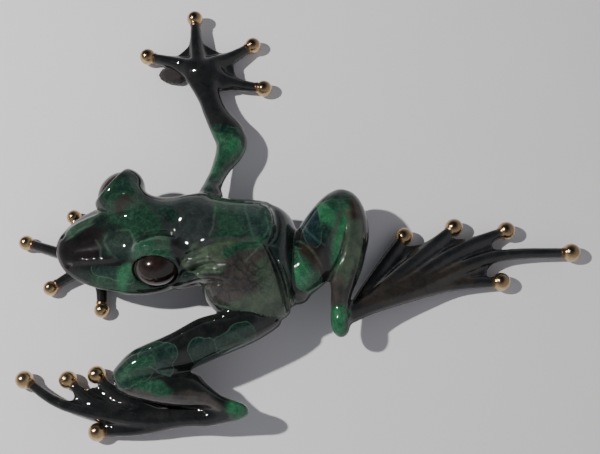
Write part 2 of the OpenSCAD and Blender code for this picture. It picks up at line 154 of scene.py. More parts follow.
def filled(node, cut, hollow=False):
    """1 at the lattice points inside a CAD node: along Z, each face met turns solid on or off."""
    first = np.array([s.start for s in cut])
    size = [s.stop - s.start for s in cut]
    flips = np.zeros((size[0], size[1], size[2] + 1), np.int16)
    for ix, iy, iz in crossings((triangles(node) - lattice.low) / STEP - first, size):
        np.add.at(flips, (ix, iy, iz), 1)
    passed = np.cumsum(flips, axis=2, dtype=np.int16)
    if hollow:
        return ((passed > 0) & (passed < passed[:, :, -1:]))[:, :, :-1].astype(np.float32)
    return (passed % 2)[:, :, :-1].astype(np.float32)


def blurred(cells, spread):
    """A Gaussian blur over that many millimetres."""
    reach = int(3 * spread / STEP) + 1
    weights = np.exp(-0.5 * (np.arange(-reach, reach + 1) * STEP / spread) ** 2)
    weights /= weights.sum()
    for axis in range(3):
        cells = np.moveaxis(cells, axis, 0)
        padded = np.pad(cells, [(reach, reach), (0, 0), (0, 0)])
        out = np.zeros_like(cells)
        for i, weight in enumerate(weights):
            out += np.float32(weight) * padded[i : i + len(cells)]
        cells = np.moveaxis(out, 0, axis)
    return cells


PROBIT_X = np.linspace(-3.6, 3.6, 721)
PROBIT_Y = np.array([0.5 * (1 + math.erf(x / math.sqrt(2))) for x in PROBIT_X])


def distance_of(share, spread):
    """The signed distance at which a flat wall, blurred, has that share of solid."""
    return (-spread * np.interp(share, PROBIT_Y, PROBIT_X)).astype(np.float32)


CASTINGS = [
    "torso_casting", "head_casting",
    "right_upper_arm", "right_forearm_and_hand", "left_upper_arm", "left_forearm_and_hand",
    "right_thigh", "right_shank", "right_foot", "left_thigh", "left_shank", "left_foot",
]
TRUNK = ("torso_casting", "head_casting", "neck_pin")
HIDDEN_PINS = ["neck_pin", "shoulder_pins", "elbow_pins", "hip_pins", "knee_pins", "ankle_pins"]
LIMB_BLUR, TRUNK_BLUR, OWNER_BLUR = 1.2, 2.2, 2.4
BACK_LOW, BACK_HIGH = 13.0, 18.0
JOINT_BLEND = 1.5
# A blur draws thin metal in, so it is let out again by this much
LIMB_EXTRA, TRUNK_EXTRA = 0.05, 0.15

owner = np.full(lattice.count, -1, np.int8)
most = np.full(lattice.count, 1e-4, np.float32)
limbs, trunk, back = (np.zeros(lattice.count, np.float32) for _ in range(3))


def node_window(node, room):
    low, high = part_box(node)
    return lattice.window(np.array(low) / MM - room, np.array(high) / MM + room)


for number, node in enumerate(CASTINGS + HIDDEN_PINS):
    cut, _ = node_window(node, 3 * OWNER_BLUR)
    cells = filled(node, cut, hollow=node == "torso_casting")
    share = blurred(cells, LIMB_BLUR)
    (trunk if node in TRUNK else limbs)[cut] += share
    if node in TRUNK:
        back[cut] += blurred(cells, TRUNK_BLUR)
    if node in CASTINGS:
        rank = share + 0.01 * blurred(cells, OWNER_BLUR)
        more = rank > most[cut]
        owner[cut][more] = number
        most[cut][more] = rank[more]

_, (_, _, level) = lattice.window(lattice.low, lattice.low + lattice.count * STEP)
smooth_back = smooth_step(level, BACK_LOW, BACK_HIGH).astype(np.float32)
trunk = distance_of(np.clip(trunk, 0, 1), LIMB_BLUR) * (1 - smooth_back) + (
    distance_of(np.clip(back, 0, 1), TRUNK_BLUR) * smooth_back
)
limbs = distance_of(np.clip(limbs, 0, 1), LIMB_BLUR) - LIMB_EXTRA
lattice.field[:] = np.minimum(trunk - TRUNK_EXTRA, FAR)


# ---- frames and lines
def middle(node):
    low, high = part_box(node)
    return (np.array(low) + np.array(high)) / 2 / MM


class Plan:
    """A level frame on the frog: places are given as (ahead, left, height)."""

    def __init__(self, centre, heading):
        self.centre = np.array(centre[:2], float)
        self.ahead = np.array([math.cos(heading), math.sin(heading)])
        self.left = np.array([-self.ahead[1], self.ahead[0]])

    def place(self, ahead, left, height=0.0):
        x, y = self.centre + ahead * self.ahead + left * self.left
        return np.array([x, y, height])

    def direction(self, ahead, left, up):
        return unit(np.append(ahead * self.ahead + left * self.left, up))

    def line(self, *places):
        return [self.place(*p) for p in places]


EYES = {"left": middle("left_eye"), "right": middle("right_eye")}
EYE_LINE = EYES["right"] - EYES["left"]
HEAD_OFF_SQUARE = math.radians(9)
head = Plan(
    (EYES["left"] + EYES["right"]) / 2,
    math.atan2(EYE_LINE[1], EYE_LINE[0]) + math.pi / 2 - HEAD_OFF_SQUARE,
)
body = Plan(middle("belly_plug"), math.pi)
near_leg = Plan(middle("left_thigh"), 0)
far_leg = Plan(middle("right_shank"), 0)
far_thigh = Plan(middle("right_thigh"), 0)


def smooth_line(points, pieces=6):
    """Points along a Catmull-Rom curve through the given ones."""
    p = np.array(points, float)
    p = np.vstack([2 * p[0] - p[1], p, 2 * p[-1] - p[-2]])
    t = np.linspace(0, 1, pieces, endpoint=False)[:, None]
    out = []
    for a, b, c, d in zip(p, p[1:], p[2:], p[3:]):
        bend = 2 * a - 5 * b + 4 * c - d + t * (3 * b - a - 3 * c + d)
        out.append(b + 0.5 * t * ((c - a) + t * bend))
    return np.vstack(out + [p[-2]])


def along(points):
    """Share of the length at each point, from 0 to 1."""
    steps = np.linalg.norm(np.diff(points, axis=0), axis=1)
    return np.concatenate([[0], np.cumsum(steps)]) / steps.sum()


def line_window(points, room):
    p = np.array(points)
    return lattice.window(p.min(0) - room, p.max(0) + room)


def plan_distance(points, x, y):
    """Distance in plan from a line, which side it is on (left positive), and how far along it is."""
    share = along(points)
    best = np.full(np.broadcast(x, y).shape, 1e9)
    side = np.ones_like(best)
    where = np.zeros_like(best)
    for i, (a, b) in enumerate(zip(points, points[1:])):
        ab = (b - a)[:2]
        t = np.clip(((x - a[0]) * ab[0] + (y - a[1]) * ab[1]) / (ab @ ab + 1e-9), 0, 1)
        dx, dy = x - a[0] - t * ab[0], y - a[1] - t * ab[1]
        d = np.hypot(dx, dy)
        near = d < best
        best = np.where(near, d, best)
        side = np.where(near, np.sign(ab[0] * dy - ab[1] * dx), side)
        where = np.where(near, share[i] + t * (share[i + 1] - share[i]), where)
    return best, side, where


def relief(points, height, left_width, right_width, low=7.0, fade=0.12):
    """Raises (or sinks) the upper skin along a line seen from above, fading at its ends."""
    points = smooth_line([np.append(p[:2], 0) for p in points])
    reach = 2.6 * max(left_width, right_width)
    cut, (x, y, z) = lattice.window(
        np.append(points[:, :2].min(0) - reach, low), np.append(points[:, :2].max(0) + reach, 40)
    )
    d, side, where = plan_distance(points, x[:, :, 0], y[:, :, 0])
    width = np.where(side > 0, left_width, right_width)
    ends = smooth_step(where, -0.001, fade) * smooth_step(1 - where, -0.001, fade)
    lift = (height * np.exp(-((d / width) ** 2)) * ends)[:, :, None]
    lattice.field[cut] -= lift * smooth_step(z, low, low + 3)


def owned(distance, cut, node):
    """Gives the lattice points where this shape is the nearest to its CAD node."""
    if node:
        mask = distance < np.minimum(lattice.field[cut], 1.0)
        owner[cut][mask] = CASTINGS.index(node)


def rope(points, radii, blend=1.0, node=None, flat=1.0, cutting=False):
    """A chain of tapered round bars, joined to the skin or carved out of it. flat squeezes it in height."""
    points = np.array(points, float)
    radii = np.interp(along(points), np.linspace(0, 1, len(radii)), radii)
    cut, (x, y, z) = line_window(points, max(radii) + 2.5)
    distance = np.full([s.stop - s.start for s in cut], FAR)
    for a, b, ra, rb in zip(points, points[1:], radii, radii[1:]):
        ab = (b - a) * (1, 1, flat)
        px, py, pz = x - a[0], y - a[1], (z - a[2]) * flat
        t = np.clip((px * ab[0] + py * ab[1] + pz * ab[2]) / (ab @ ab + 1e-9), 0, 1)
        d = np.sqrt((px - t * ab[0]) ** 2 + (py - t * ab[1]) ** 2 + (pz - t * ab[2]) ** 2)
        distance = np.minimum(distance, d - ra - t * (rb - ra))
    if cutting:
        carve(distance, cut, blend)
    else:
        owned(distance, cut, node)
        add(distance, cut, blend)


def ellipsoid(x, y, z, centre, axes, radii):
    """Roughly the distance from an ellipsoid with these unit axes and half sizes."""
    p = [x - centre[0], y - centre[1], z - centre[2]]
    near = np.sqrt(sum((sum(a[i] * p[i] for i in range(3)) / r) ** 2 for a, r in zip(axes, radii)))
    far = np.sqrt(sum((sum(a[i] * p[i] for i in range(3)) / r**2) ** 2 for a, r in zip(axes, radii)))
    return near * (near - 1) / np.maximum(far, 1e-6)


# ---- torso
# The far side of the neck is waisted. The limbs are joined on after that cut
WAIST = ((35, -33, 13), (30.5, -29.5, 13), (24, -28, 13), (19.5, -30, 13))
rope(smooth_line(body.line(*WAIST)), (7.8, 7.8), 2, cutting=True)
lattice.field[:] = np.minimum(soft_min(lattice.field, limbs, JOINT_BLEND), FAR)
spine = body.line(
    (23.9, 2.1), (21.8, 0.8), (17.5, -0.9), (13.8, -2.4), (7, -3.3), (1.7, -2.7), (-3.9, -2.9)
)
rear_near = body.line((-3.9, -2.9), (-6.0, 1.0), (-7.6, 4.6), (-9.6, 10.2), (-11.6, 15.9), (-12.7, 20.0))
rear_far = body.line((-3.5, -18.5), (-6.3, -16.2), (-7.8, -11.0), (-7.5, -4.9), (-5.7, -0.9))
ledge = body.line((-9.3, 3.0), (-11.2, 8.2), (-12.6, 14.1), (-13.0, 19.5))
front_edge = body.line((15.8, 10.1), (14.9, 12.8), (12.9, 16.2), (9.4, 18.5), (3.3, 19.9), (-4.0, 21.6))
far_shoulder = body.line((22, -16.5, 14.5), (18, -19.5, 14), (15.5, -23.5, 13))
rope(far_shoulder, (5.5, 5, 3.4), 3.5, "torso_casting")
relief(spine, 1.0, 4.5, 0.5)
relief(spine, -0.8, 0.5, 1.3)
relief(rear_near, 0.7, 0.7, 4.0)
relief(rear_near, -1.9, 2.2, 0.5)
relief(rear_far, 0.8, 0.7, 3.0)
relief(rear_far, -1.7, 2.4, 0.4)
relief(ledge, 0.8, 0.6, 0.6)
relief(front_edge, 0.5, 0.6, 1.4, low=5.0)
NECK_FOLDS = [
    ((25.0, 4.8, 17.6), (21.2, 3.0, 19.4), (18.0, 2.5, 21.7), (14.2, 2.6, 24.4), (9.5, 3.1, 26.4)),
    (
        (25.8, 8.2, 14.6), (22.5, 7.3, 16.2), (19, 7, 18.2),
        (15.5, 7.4, 20.8), (11.8, 8.2, 23.2), (7.5, 9.6, 25.2),
    ),
    ((25.0, 7.6, 11.4), (21.0, 6.8, 12.4), (18.0, 7.0, 13.4), (15.5, 8.8, 14.6)),
]
FOLD_CREASES = [
    ((24.0, 6.4), (19.5, 4.9), (15.0, 4.8), (10.5, 5.2), (6.0, 5.8)),
    ((22.0, 10.0), (16.5, 9.8), (11.0, 10.6), (6.5, 11.8)),
]
for fold in NECK_FOLDS:
    rope(smooth_line(body.line(*fold)), (1.7, 2.3, 2.2, 1.8, 0.9), 1.4, "torso_casting")
for crease in FOLD_CREASES:
    relief(body.line(*crease), -1.0, 0.6, 0.6, fade=0.4)

# ---- legs
knee_crease = far_leg.line((-1.1, 14.6), (-1.5, 8.4), (-2.9, 2.3), (-5.3, -3.3), (-7.5, -7.4))
relief(knee_crease, -1.3, 0.7, 0.7, fade=0.3)
relief(knee_crease, 0.45, 2.4, 2.0, fade=0.3)
relief(far_leg.line((3.3, 10.9), (3.7, 4.1), (1.6, -4.3), (-1.0, -10.9)), 0.5, 0.6, 1.0, fade=0.3)
relief(far_leg.line((2.0, 8.0), (2.0, 2.0), (0.2, -6.0)), -0.35, 1.0, 1.0, fade=0.35)
thigh_edge = near_leg.line((-23.1, -14.6), (-14.9, -13.4), (-2.7, -9.5), (10.5, -3.3))
relief(thigh_edge, -0.8, 0.7, 0.5, fade=0.25)
relief(thigh_edge, 0.4, 1.6, 0.3, fade=0.25)
thigh_ridge = near_leg.line((-24.7, -10.7), (-14.9, -4.7), (-2.3, 2.6), (9, 6.9))
relief(thigh_ridge, 0.35, 1.5, 1.5, fade=0.3)
shank_ridge = near_leg.line((-18, -16.9), (-10, -17.8), (-1.9, -18.1), (6.1, -18.5))
relief(shank_ridge, 0.5, 0.8, 1.6, low=5, fade=0.3)
# The thigh, the shank and the ankle are drawn in along their upper edges
thigh_top = near_leg.line((-24, -5), (-16, -1), (-7, 3.5), (1.5, 8.5))
relief(thigh_top, -1.3, 3.4, 3.4, low=1, fade=0.45)
shank_back = far_leg.line((7.6, 9), (8, 2), (7.2, -6), (4.8, -14))
relief(shank_back, -1.3, 2.8, 2.8, low=1, fade=0.35)
ankle_front = near_leg.line((1.5, -9.5), (5.5, -13.8), (11.5, -16.4))
relief(ankle_front, -1.7, 1.9, 1.9, low=3, fade=0.3)
rope(far_thigh.line((-5.5, -9, 13.5), (-5.2, -17.4, 11)), (5, 3), 2.6, "right_thigh")

# ---- head
JAW_HEIGHT = 11.4
NEAR_JAW = ((19, 8.5), (12.8, 13.2), (5, 17.4), (-5, 18.9), (-11.5, 18.2))
near_jaw = smooth_line([head.place(*p, JAW_HEIGHT) for p in NEAR_JAW])
rope(near_jaw, (2.8, 3.8, 4.0, 4.0, 3.2), 2.4, "head_casting")
NEAR_CANTHUS = ((26.6, 3.4), (22.5, 5.1), (17.6, 6.8), (12.6, 8.4), (6.5, 10.0))
FAR_CANTHUS = ((26.0, -5.6), (21.5, -8.2), (16.5, -8.9), (11.5, -9.0), (7.5, -9.4))
relief(head.line(*NEAR_CANTHUS), 0.9, 1.8, 0.6, fade=0.3)
relief(head.line(*FAR_CANTHUS), 0.7, 0.8, 2.6, fade=0.3)
NOSTRILS = ((26.3, 4.6, 15.6), (25.8, -6.4, 15.0))
for ahead, left, up in NOSTRILS:
    spot = head.place(ahead, left, up)
    inward = 1.2 * head.direction(-0.7, 0.2 * np.sign(left), 0.3)
    rope([spot, spot + inward], (0.75, 0.5), 0.5, cutting=True)
MOUTH_HEIGHT, MOUTH_DEPTH, MOUTH_WIDTH = 11.0, 0.55, 0.55
cut, (x, y, z) = node_window("head_casting", 2)
forward = (x - head.centre[0]) * head.ahead[0] + (y - head.centre[1]) * head.ahead[1]
lips = smooth_step(forward, -1.0, 4.0) * np.exp(-(((z - MOUTH_HEIGHT) / MOUTH_WIDTH) ** 2))
lattice.field[cut] += MOUTH_DEPTH * lips

# Half sizes of an eye: ahead, outward and across. LOOK is the way that each faces. LID is how thick its lids
# are, and they end LID_EDGE out from the middle. The near eye is moved a little within its socket
EYE_SIZE = (8.3, 6.9, 6.5)
LOOK = {"left": (0.42, 0.71, 0.56), "right": (0.50, -0.80, 0.26)}
LID = {"left": 1.0, "right": 1.3}
LID_EDGE = {"left": 2.6, "right": 4.3}
LID_ROUND = 0.9
SOCKET_GAP = 0.05
NEAR_EYE_SHIFT = (0.7, -0.9, 0.0)
EYES["left"] = EYES["left"] + NEAR_EYE_SHIFT
BROW_CUT = ((7, 4.4, 28.4), (-12, 5.2, 28.4))
BROW_ROLL = ((4.6, 10.8, 18.6), (-0.5, 9.6, 21.8), (-5.5, 10.2, 22.6), (-10.5, 12.6, 21.2), (-12.5, 16, 17.8))
BROW_CREASE = ((1.5, 7.0), (-2.0, 5.5), (-6.5, 6.0), (-10.5, 7.5), (-13.5, 11.5))
# The far brow's blunt tip, in the frame's own X, Y and Z
BROW_TIP = ((-69, 18.5, 20), (-56, 18, 20))
rope(BROW_TIP, (12, 12), 2, cutting=True)
rope(head.line(*BROW_CUT), (5.2, 5.2), 2.4, cutting=True)
rope(smooth_line(head.line(*BROW_ROLL)), (1.6, 2.9, 3.3, 2.8, 1.4), 1.6, "head_casting")
relief(head.line(*BROW_CREASE), -1.2, 1.1, 0.9, fade=0.3)
eye_axes = {}
for side, centre in EYES.items():
    look = head.direction(*LOOK[side])
    forward = head.direction(1, 0, 0)
    forward = unit(forward - (forward @ look) * look)
    eye_axes[side] = (forward, look, np.cross(forward, look))
    cut, (x, y, z) = lattice.window(centre - 13, centre + 13)
    facing = (x - centre[0]) * look[0] + (y - centre[1]) * look[1] + (z - centre[2]) * look[2]
    cup = ellipsoid(x, y, z, centre, eye_axes[side], [r + LID[side] for r in EYE_SIZE])
    cup = -soft_min(-cup, LID_EDGE[side] - facing, LID_ROUND)
    owned(cup, cut, "head_casting")
    add(cup, cut, 1.6)
    bead = ellipsoid(x, y, z, centre, eye_axes[side], [r + SOCKET_GAP for r in EYE_SIZE])
    beyond = -soft_min(-bead, facing - LID_EDGE[side] + 0.2, 0.4)
    carve(np.minimum(bead, beyond), cut, 0.5)

# ---- hands and feet
def balls_of(node, root):
    """Centres of the balls of a hand or foot, clockwise as seen from above, with their radius."""
    tri = triangles(node)
    centres, low = [], []
    left = np.ones(len(tri), bool)
    mid = tri.mean(1)
    while left.any():
        seed = mid[left][0]
        group = left & (np.linalg.norm(mid - seed, axis=1) < 6.2)
        box = tri[group].reshape(-1, 3)
        centres.append((box.min(0) + box.max(0)) / 2)
        low.append(np.ptp(box[:, 2]) / 2)
        left &= ~group
    turn = [math.atan2(c[1] - root[1], c[0] - root[0]) for c in centres]
    order = sorted(range(len(centres)), key=lambda i: -turn[i])
    turns = [turn[i] for i in order]
    gaps = [(turns[i - 1] - turns[i]) % (2 * math.pi) for i in range(len(turns))]
    first = gaps.index(max(gaps))
    order = order[first:] + order[:first]
    return [centres[i] for i in order], max(low)


# Each hand and foot: its ball tips, the place that its toes spread from, its heel, each toe's two bends on
# the way to its ball, how far the webs reach along each toe, the toes' radii, how softly they join, and how
# full the balls are beside the CAD's
LIMB_ENDS = {
    "right_forearm_and_hand": dict(
        tips="right_hand_tips", root=(-36.8, 55.6, 5), heel=(-36, 51, 5.4),
        bends=[
            [(-42.6, 58.6, 4.8), (-49, 60.6, 4.2)], [(-38.6, 61.6, 5), (-39.6, 68, 4.8)],
            [(-32.6, 59.6, 4.8), (-26.6, 62.2, 4.2)], [(-31.6, 53.8, 4.8), (-22.8, 50.9, 4)],
        ],
        webs=[0.78, 0.78, 0.74, 0.72], bar=(3.5, 2.5, 1.8), toe_blend=1.2, swell=1.14,
    ),
    "left_forearm_and_hand": dict(
        tips="left_hand_tips", root=(-72.6, -20.4, 3.8), heel=(-68, -20.6, 3.9),
        bends=[
            [(-71.6, -25.2, 3.5), (-69.6, -30, 3.2)], [(-77, -23.2, 3.5), (-81.8, -25.8, 3.2)],
            [(-79, -18.8, 3.5), (-87, -16, 3.2)], [(-75.4, -15.8, 3.5), (-78, -11, 3.2)],
        ],
        webs=[0.56, 0.56, 0.56, 0.56], bar=(2.4, 2, 1.7), toe_blend=0.8, swell=1,
    ),
    "right_foot": dict(
        tips="right_foot_tips", root=(18.6, -40.2, 10.6), heel=(15, -43.4, 12.6),
        bends=[
            [(23.6, -31.4, 7.4), (30.8, -20.4, 4.8)], [(29.6, -30.6, 7.8), (44.6, -17.2, 4.8)],
            [(36.4, -30.2, 7.5), (56.6, -16.2, 4.6)], [(41.6, -31, 7.2), (68.6, -18.4, 4.2)],
            [(33.5, -34.8, 7.2), (52.7, -29, 4.4)],
        ],
        webs=[0.92, 0.95, 0.93, 0.73, 0.92], bar=(1.9, 2.1, 1.65), toe_blend=2, swell=1.14,
    ),
    "left_foot": dict(
        tips="left_foot_tips", root=(-30.8, -75.6, 9), heel=(-20.4, -74.4, 12.4),
        bends=[
            [(-42.6, -77.2, 6.6), (-54.5, -79.2, 4.4)], [(-52.6, -76.2, 6.2), (-78.6, -70.9, 4)],
            [(-51, -75, 6), (-68.6, -70, 4)], [(-47.8, -73.6, 5.8), (-60.3, -68.2, 3.8)],
            [(-42.3, -71.6, 5.4), (-50.3, -65.6, 3.4)],
        ],
        webs=[0.93, 0.76, 0.95, 0.94, 0.9], bar=(1.8, 2, 1.55), toe_blend=1.2, swell=1.1,
    ),
}
WEB_HALF = 0.6
WEB_DROP = 0.2
WEB_PULL = 0.22
# What fills the raised palm: each bar's ends, radii, blend and flatness
PALM_FILLS = (
    ([(-46.5, 58.6, 4.2), (-40.5, 54, 4.8)], (1.5, 3), 1.6, 1.3),
    ([(-34, 50, 4.8), (-28, 50, 4.4)], (2.6, 1.5), 2.6, 1.3),
    ([(-40, 57, 4.8), (-33, 56.5, 4.8)], (3.4, 3.4), 3, 1.1),
)


def inside_outline(outline, x, y):
    """Signed distance in plan from a closed outline, negative inside."""
    closed = np.vstack([outline, outline[:1]])
    far, _, _ = plan_distance(closed, x, y)
    odd = np.zeros(far.shape, bool)
    for a, b in zip(closed, closed[1:]):
        if a[1] != b[1]:
            odd ^= ((a[1] > y) != (b[1] > y)) & (x < (b[0] - a[0]) * (y - a[1]) / (b[1] - a[1]) + a[0])
    return np.where(odd, -far, far)


def web(first, second, reach_a, reach_b, node):
    """The thin skin between two toes, its free edge drawn in towards the foot."""
    a = first[along(first) <= reach_a]
    b = second[along(second) <= reach_b]
    pull = WEB_PULL * np.linalg.norm(a[-1] - b[-1]) + 0.8
    drawn_in = [v[-1] - pull * unit(v[-1] - v[-3]) for v in (a, b)]
    knots = [a[-1], *drawn_in, b[-1]]
    t = np.linspace(0, 1, 14)[1:-1, None]
    edge = sum(c * (1 - t) ** (3 - i) * t**i * k for i, (c, k) in enumerate(zip((1, 3, 3, 1), knots)))
    outline = np.vstack([a, edge, b[::-1]])
    cut, (x, y, z) = line_window(outline, 2.5)
    flat_x, flat_y = x[:, :, 0], y[:, :, 0]
    in_plan = inside_outline(outline[:, :2], flat_x, flat_y)
    far_a, _, at_a = plan_distance(a, flat_x, flat_y)
    far_b, _, at_b = plan_distance(b, flat_x, flat_y)
    high_a = np.interp(at_a, along(a), a[:, 2])
    high_b = np.interp(at_b, along(b), b[:, 2])
    level = (high_a * far_b + high_b * far_a) / (far_a + far_b + 1e-6) - WEB_DROP
    distance = -soft_min(-in_plan[:, :, None], WEB_HALF - np.abs(z - level[:, :, None]), 0.5)
    owned(distance, cut, node)
    add(distance, cut, 1.9)


for node, end in LIMB_ENDS.items():
    root, heel = np.array(end["root"]), np.array(end["heel"])
    balls, cad_r = balls_of(end["tips"], root)
    # The balls stand on the same floor as the CAD's, a little fuller
    ball_r = cad_r * end["swell"]
    balls = [ball + (0, 0, ball_r - cad_r) for ball in balls]
    end["balls"], end["ball_r"] = balls, ball_r
    lines = [smooth_line([root, *bends, ball], 8) for bends, ball in zip(end["bends"], balls)]
    for (a, b), (ra, rb) in zip(zip(lines, lines[1:]), zip(end["webs"], end["webs"][1:])):
        web(a, b, ra, rb, node)
    for line in lines:
        ball = line[-1]
        toe = line[np.linalg.norm(line - ball, axis=1) > ball_r]
        rope(np.vstack([toe, ball + (toe[-1] - ball) * 0.5]), end["bar"], end["toe_blend"], node)
    if node == "right_forearm_and_hand":
        for palm_fill in PALM_FILLS:
            rope(*palm_fill[:3], node, flat=palm_fill[3])
    if node.endswith("foot"):
        rope([heel, root, lines[2][10]], (2.6, 2.6, 1.4), 1.5, node, flat=1.15)
    for ball in balls:
        cut, (x, y, z) = lattice.window(ball - ball_r - 1, ball + ball_r + 1)
        far = np.sqrt((x - ball[0]) ** 2 + (y - ball[1]) ** 2 + (z - ball[2]) ** 2)
        carve(far - ball_r * 0.9, cut, 0.2)


# ---- the core hole in the belly
plug_box = [np.array(v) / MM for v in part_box("belly_plug")]
plug_mid = (plug_box[0] + plug_box[1]) / 2
HOLE_GAP, HOLE_DEPTH = 0.12, 2.5
cut, (x, y, z) = node_window("belly_plug", 3)
hole = np.hypot(x - plug_mid[0], y - plug_mid[1]) - (plug_box[1][0] - plug_mid[0]) - HOLE_GAP
carve(np.maximum(hole + 0 * z, z - plug_box[0][2] - HOLE_DEPTH), cut, 0.3)


# ---- meshing
def surface(field):
    """Surface nets: one vertex in each lattice cell that the zero level crosses, one quad for each edge."""
    inside = field < 0
    cells = np.zeros(np.array(field.shape) - 1, np.int8)
    corners = list(np.ndindex(2, 2, 2))
    n = [s - 1 for s in field.shape]
    for i, j, k in corners:
        cells += inside[i : i + n[0], j : j + n[1], k : k + n[2]]
    active = np.argwhere((cells > 0) & (cells < 8))
    index = np.full(cells.shape, -1, np.int32)
    index[tuple(active.T)] = np.arange(len(active))
    values = np.stack([field[tuple((active + c).T)] for c in corners], 1)
    total = np.zeros((len(active), 3))
    hits = np.zeros(len(active))
    for p, a in enumerate(corners):
        for q, b in enumerate(corners):
            if q <= p or sum(abs(x - y) for x, y in zip(a, b)) != 1:
                continue
            va, vb = values[:, p], values[:, q]
            cross = (va < 0) != (vb < 0)
            t = np.where(cross, va / np.where(cross, va - vb, 1), 0)[:, None]
            total += cross[:, None] * (np.array(a) * (1 - t) + np.array(b) * t)
            hits += cross
    points = active + total / hits[:, None]
    quads = []
    for axis in range(3):
        u, v = [(1, 2), (2, 0), (0, 1)][axis]
        head = np.take(inside, range(0, field.shape[axis] - 1), axis)
        tail = np.take(inside, range(1, field.shape[axis]), axis)
        edges = np.argwhere(head != tail)
        edges = edges[(edges[:, u] > 0) & (edges[:, v] > 0) & (edges[:, u] < n[u]) & (edges[:, v] < n[v])]
        leaving = head[tuple(edges.T)]
        four = []
        for du, dv in ((1, 1), (0, 1), (0, 0), (1, 0)):
            cell = edges.copy()
            cell[:, u] -= du
            cell[:, v] -= dv
            four.append(index[tuple(cell.T)])
        quad = np.stack(four, 1)
        quad[~leaving] = quad[~leaving][:, ::-1]
        quads.append(quad)
    return points, np.concatenate(quads)


def trilinear(cells, base, t):
    """Values between lattice points, from the corner below each place and its shares of the way on."""
    total = np.zeros(len(t))
    low, high = base % cells.shape, (base + 1) % cells.shape
    for corner in np.ndindex(2, 2, 2):
        share = np.where(corner, t, 1 - t)
        at = np.where(corner, high, low)
        total += share[:, 0] * share[:, 1] * share[:, 2] * cells[tuple(at.T)]
    return total


def sample(field, points):
    """The field's values at points in lattice units."""
    base = np.clip(np.floor(points).astype(int), 0, np.array(field.shape) - 2)
    return trilinear(field, base, points - base)


# ---- the whole skin as one surface
points, quads = surface(lattice.field)
# Each point is moved onto the zero level
for _ in range(2):
    ahead, behind = ([sample(lattice.field, points + d) for d in sign * np.eye(3)] for sign in (0.5, -0.5))
    grad = np.stack(ahead, 1) - np.stack(behind, 1)
    length = np.maximum((grad**2).sum(1, keepdims=True), 0.02)
    points -= np.clip(sample(lattice.field, points)[:, None] * grad / length, -0.5, 0.5)


def neighbour_mean(values):
    total = np.zeros_like(values)
    count = np.zeros((len(values),) + (1,) * (values.ndim - 1))
    for i in range(4):
        a, b = quads[:, i], quads[:, (i + 1) % 4]
        np.add.at(total, a, values[b])
        np.add.at(total, b, values[a])
        np.add.at(count, a, 1)
        np.add.at(count, b, 1)
    return total / np.maximum(count, 1)


# Smoothing in and out by turns, which takes the steps away and keeps the size
for pull in (0.5, -0.52) * 3:
    points += pull * (neighbour_mean(points) - points)


def vertex_normals():
    p = points[quads]
    face = np.cross(p[:, 2] - p[:, 0], p[:, 3] - p[:, 1])
    total = np.zeros_like(points)
    for i in range(4):
        np.add.at(total, quads[:, i], face)
    return total / np.maximum(np.linalg.norm(total, axis=1, keepdims=True), 1e-9)


normals = vertex_normals()
place = lattice.low + points * STEP


# ---- pieces
# How far under the skin its casting is looked up, in lattice steps, in the order tried
LOOK_DEPTHS = (1.2, 2.2, 3.4, 0.4)


def quad_owners():
    """The casting that each quad belongs to, read from just under the skin."""
    centre = points[quads].mean(1)
    inward = normals[quads].mean(1)
    best = np.full(len(quads), -1)
    for depth in LOOK_DEPTHS:
        at = np.clip(np.round(centre - depth * inward).astype(int), 0, lattice.count - 1)
        found = owner[tuple(at.T)]
        best = np.where(best < 0, found, best)
    for _ in range(6):
        votes = np.zeros((len(points), len(CASTINGS)))
        known = best >= 0
        for i in range(4):
            np.add.at(votes, (quads[known, i], best[known]), 1)
        totals = votes[quads].sum(1)
        best = np.where(totals.max(1) > 0, totals.argmax(1), best)
    return best


def new_piece(name, node, material, verts, faces, normal=None, attributes=None):
    """A mesh piece from places in millimetres. It rides on the one body, and its CAD node is hidden."""
    mesh = bpy.data.meshes.new(name)
    mesh.from_pydata((np.array(verts) * MM).tolist(), [], [list(map(int, f)) for f in faces])
    for key, values in (attributes or {}).items():
        kind, field = ("FLOAT_COLOR", "color") if values.ndim == 2 else ("FLOAT", "value")
        layer = mesh.attributes.new(key, kind, "POINT")
        layer.data.foreach_set(field, values.astype(np.float32).ravel())
    mesh.polygons.foreach_set("use_smooth", np.ones(len(mesh.polygons), bool))
    if normal is not None:
        mesh.normals_split_custom_set_from_vertices(normal)
    mesh.materials.append(MATERIALS[material])
    piece = bpy.data.objects.new(name, mesh)
    bpy.context.scene.collection.objects.link(piece)
    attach(piece, "root")
    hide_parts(node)


def border_loops(faces):
    """The closed chains of edges that only one of the faces uses."""
    edges = dict.fromkeys((int(a), int(b)) for face in faces for a, b in zip(face, np.roll(face, -1)))
    following = {}
    for a, b in edges:
        if (b, a) not in edges:
            following.setdefault(b, []).append(a)
    loops = []
    while following:
        start = next(iter(following))
        loop, at = [], start
        while at in following:
            loop.append(at)
            nexts = following[at]
            step = nexts.pop()
            if not nexts:
                del following[at]
            at = step
        if len(loop) > 2:
            loops.append(loop)
    return loops


CAP_DEPTH = 1.2


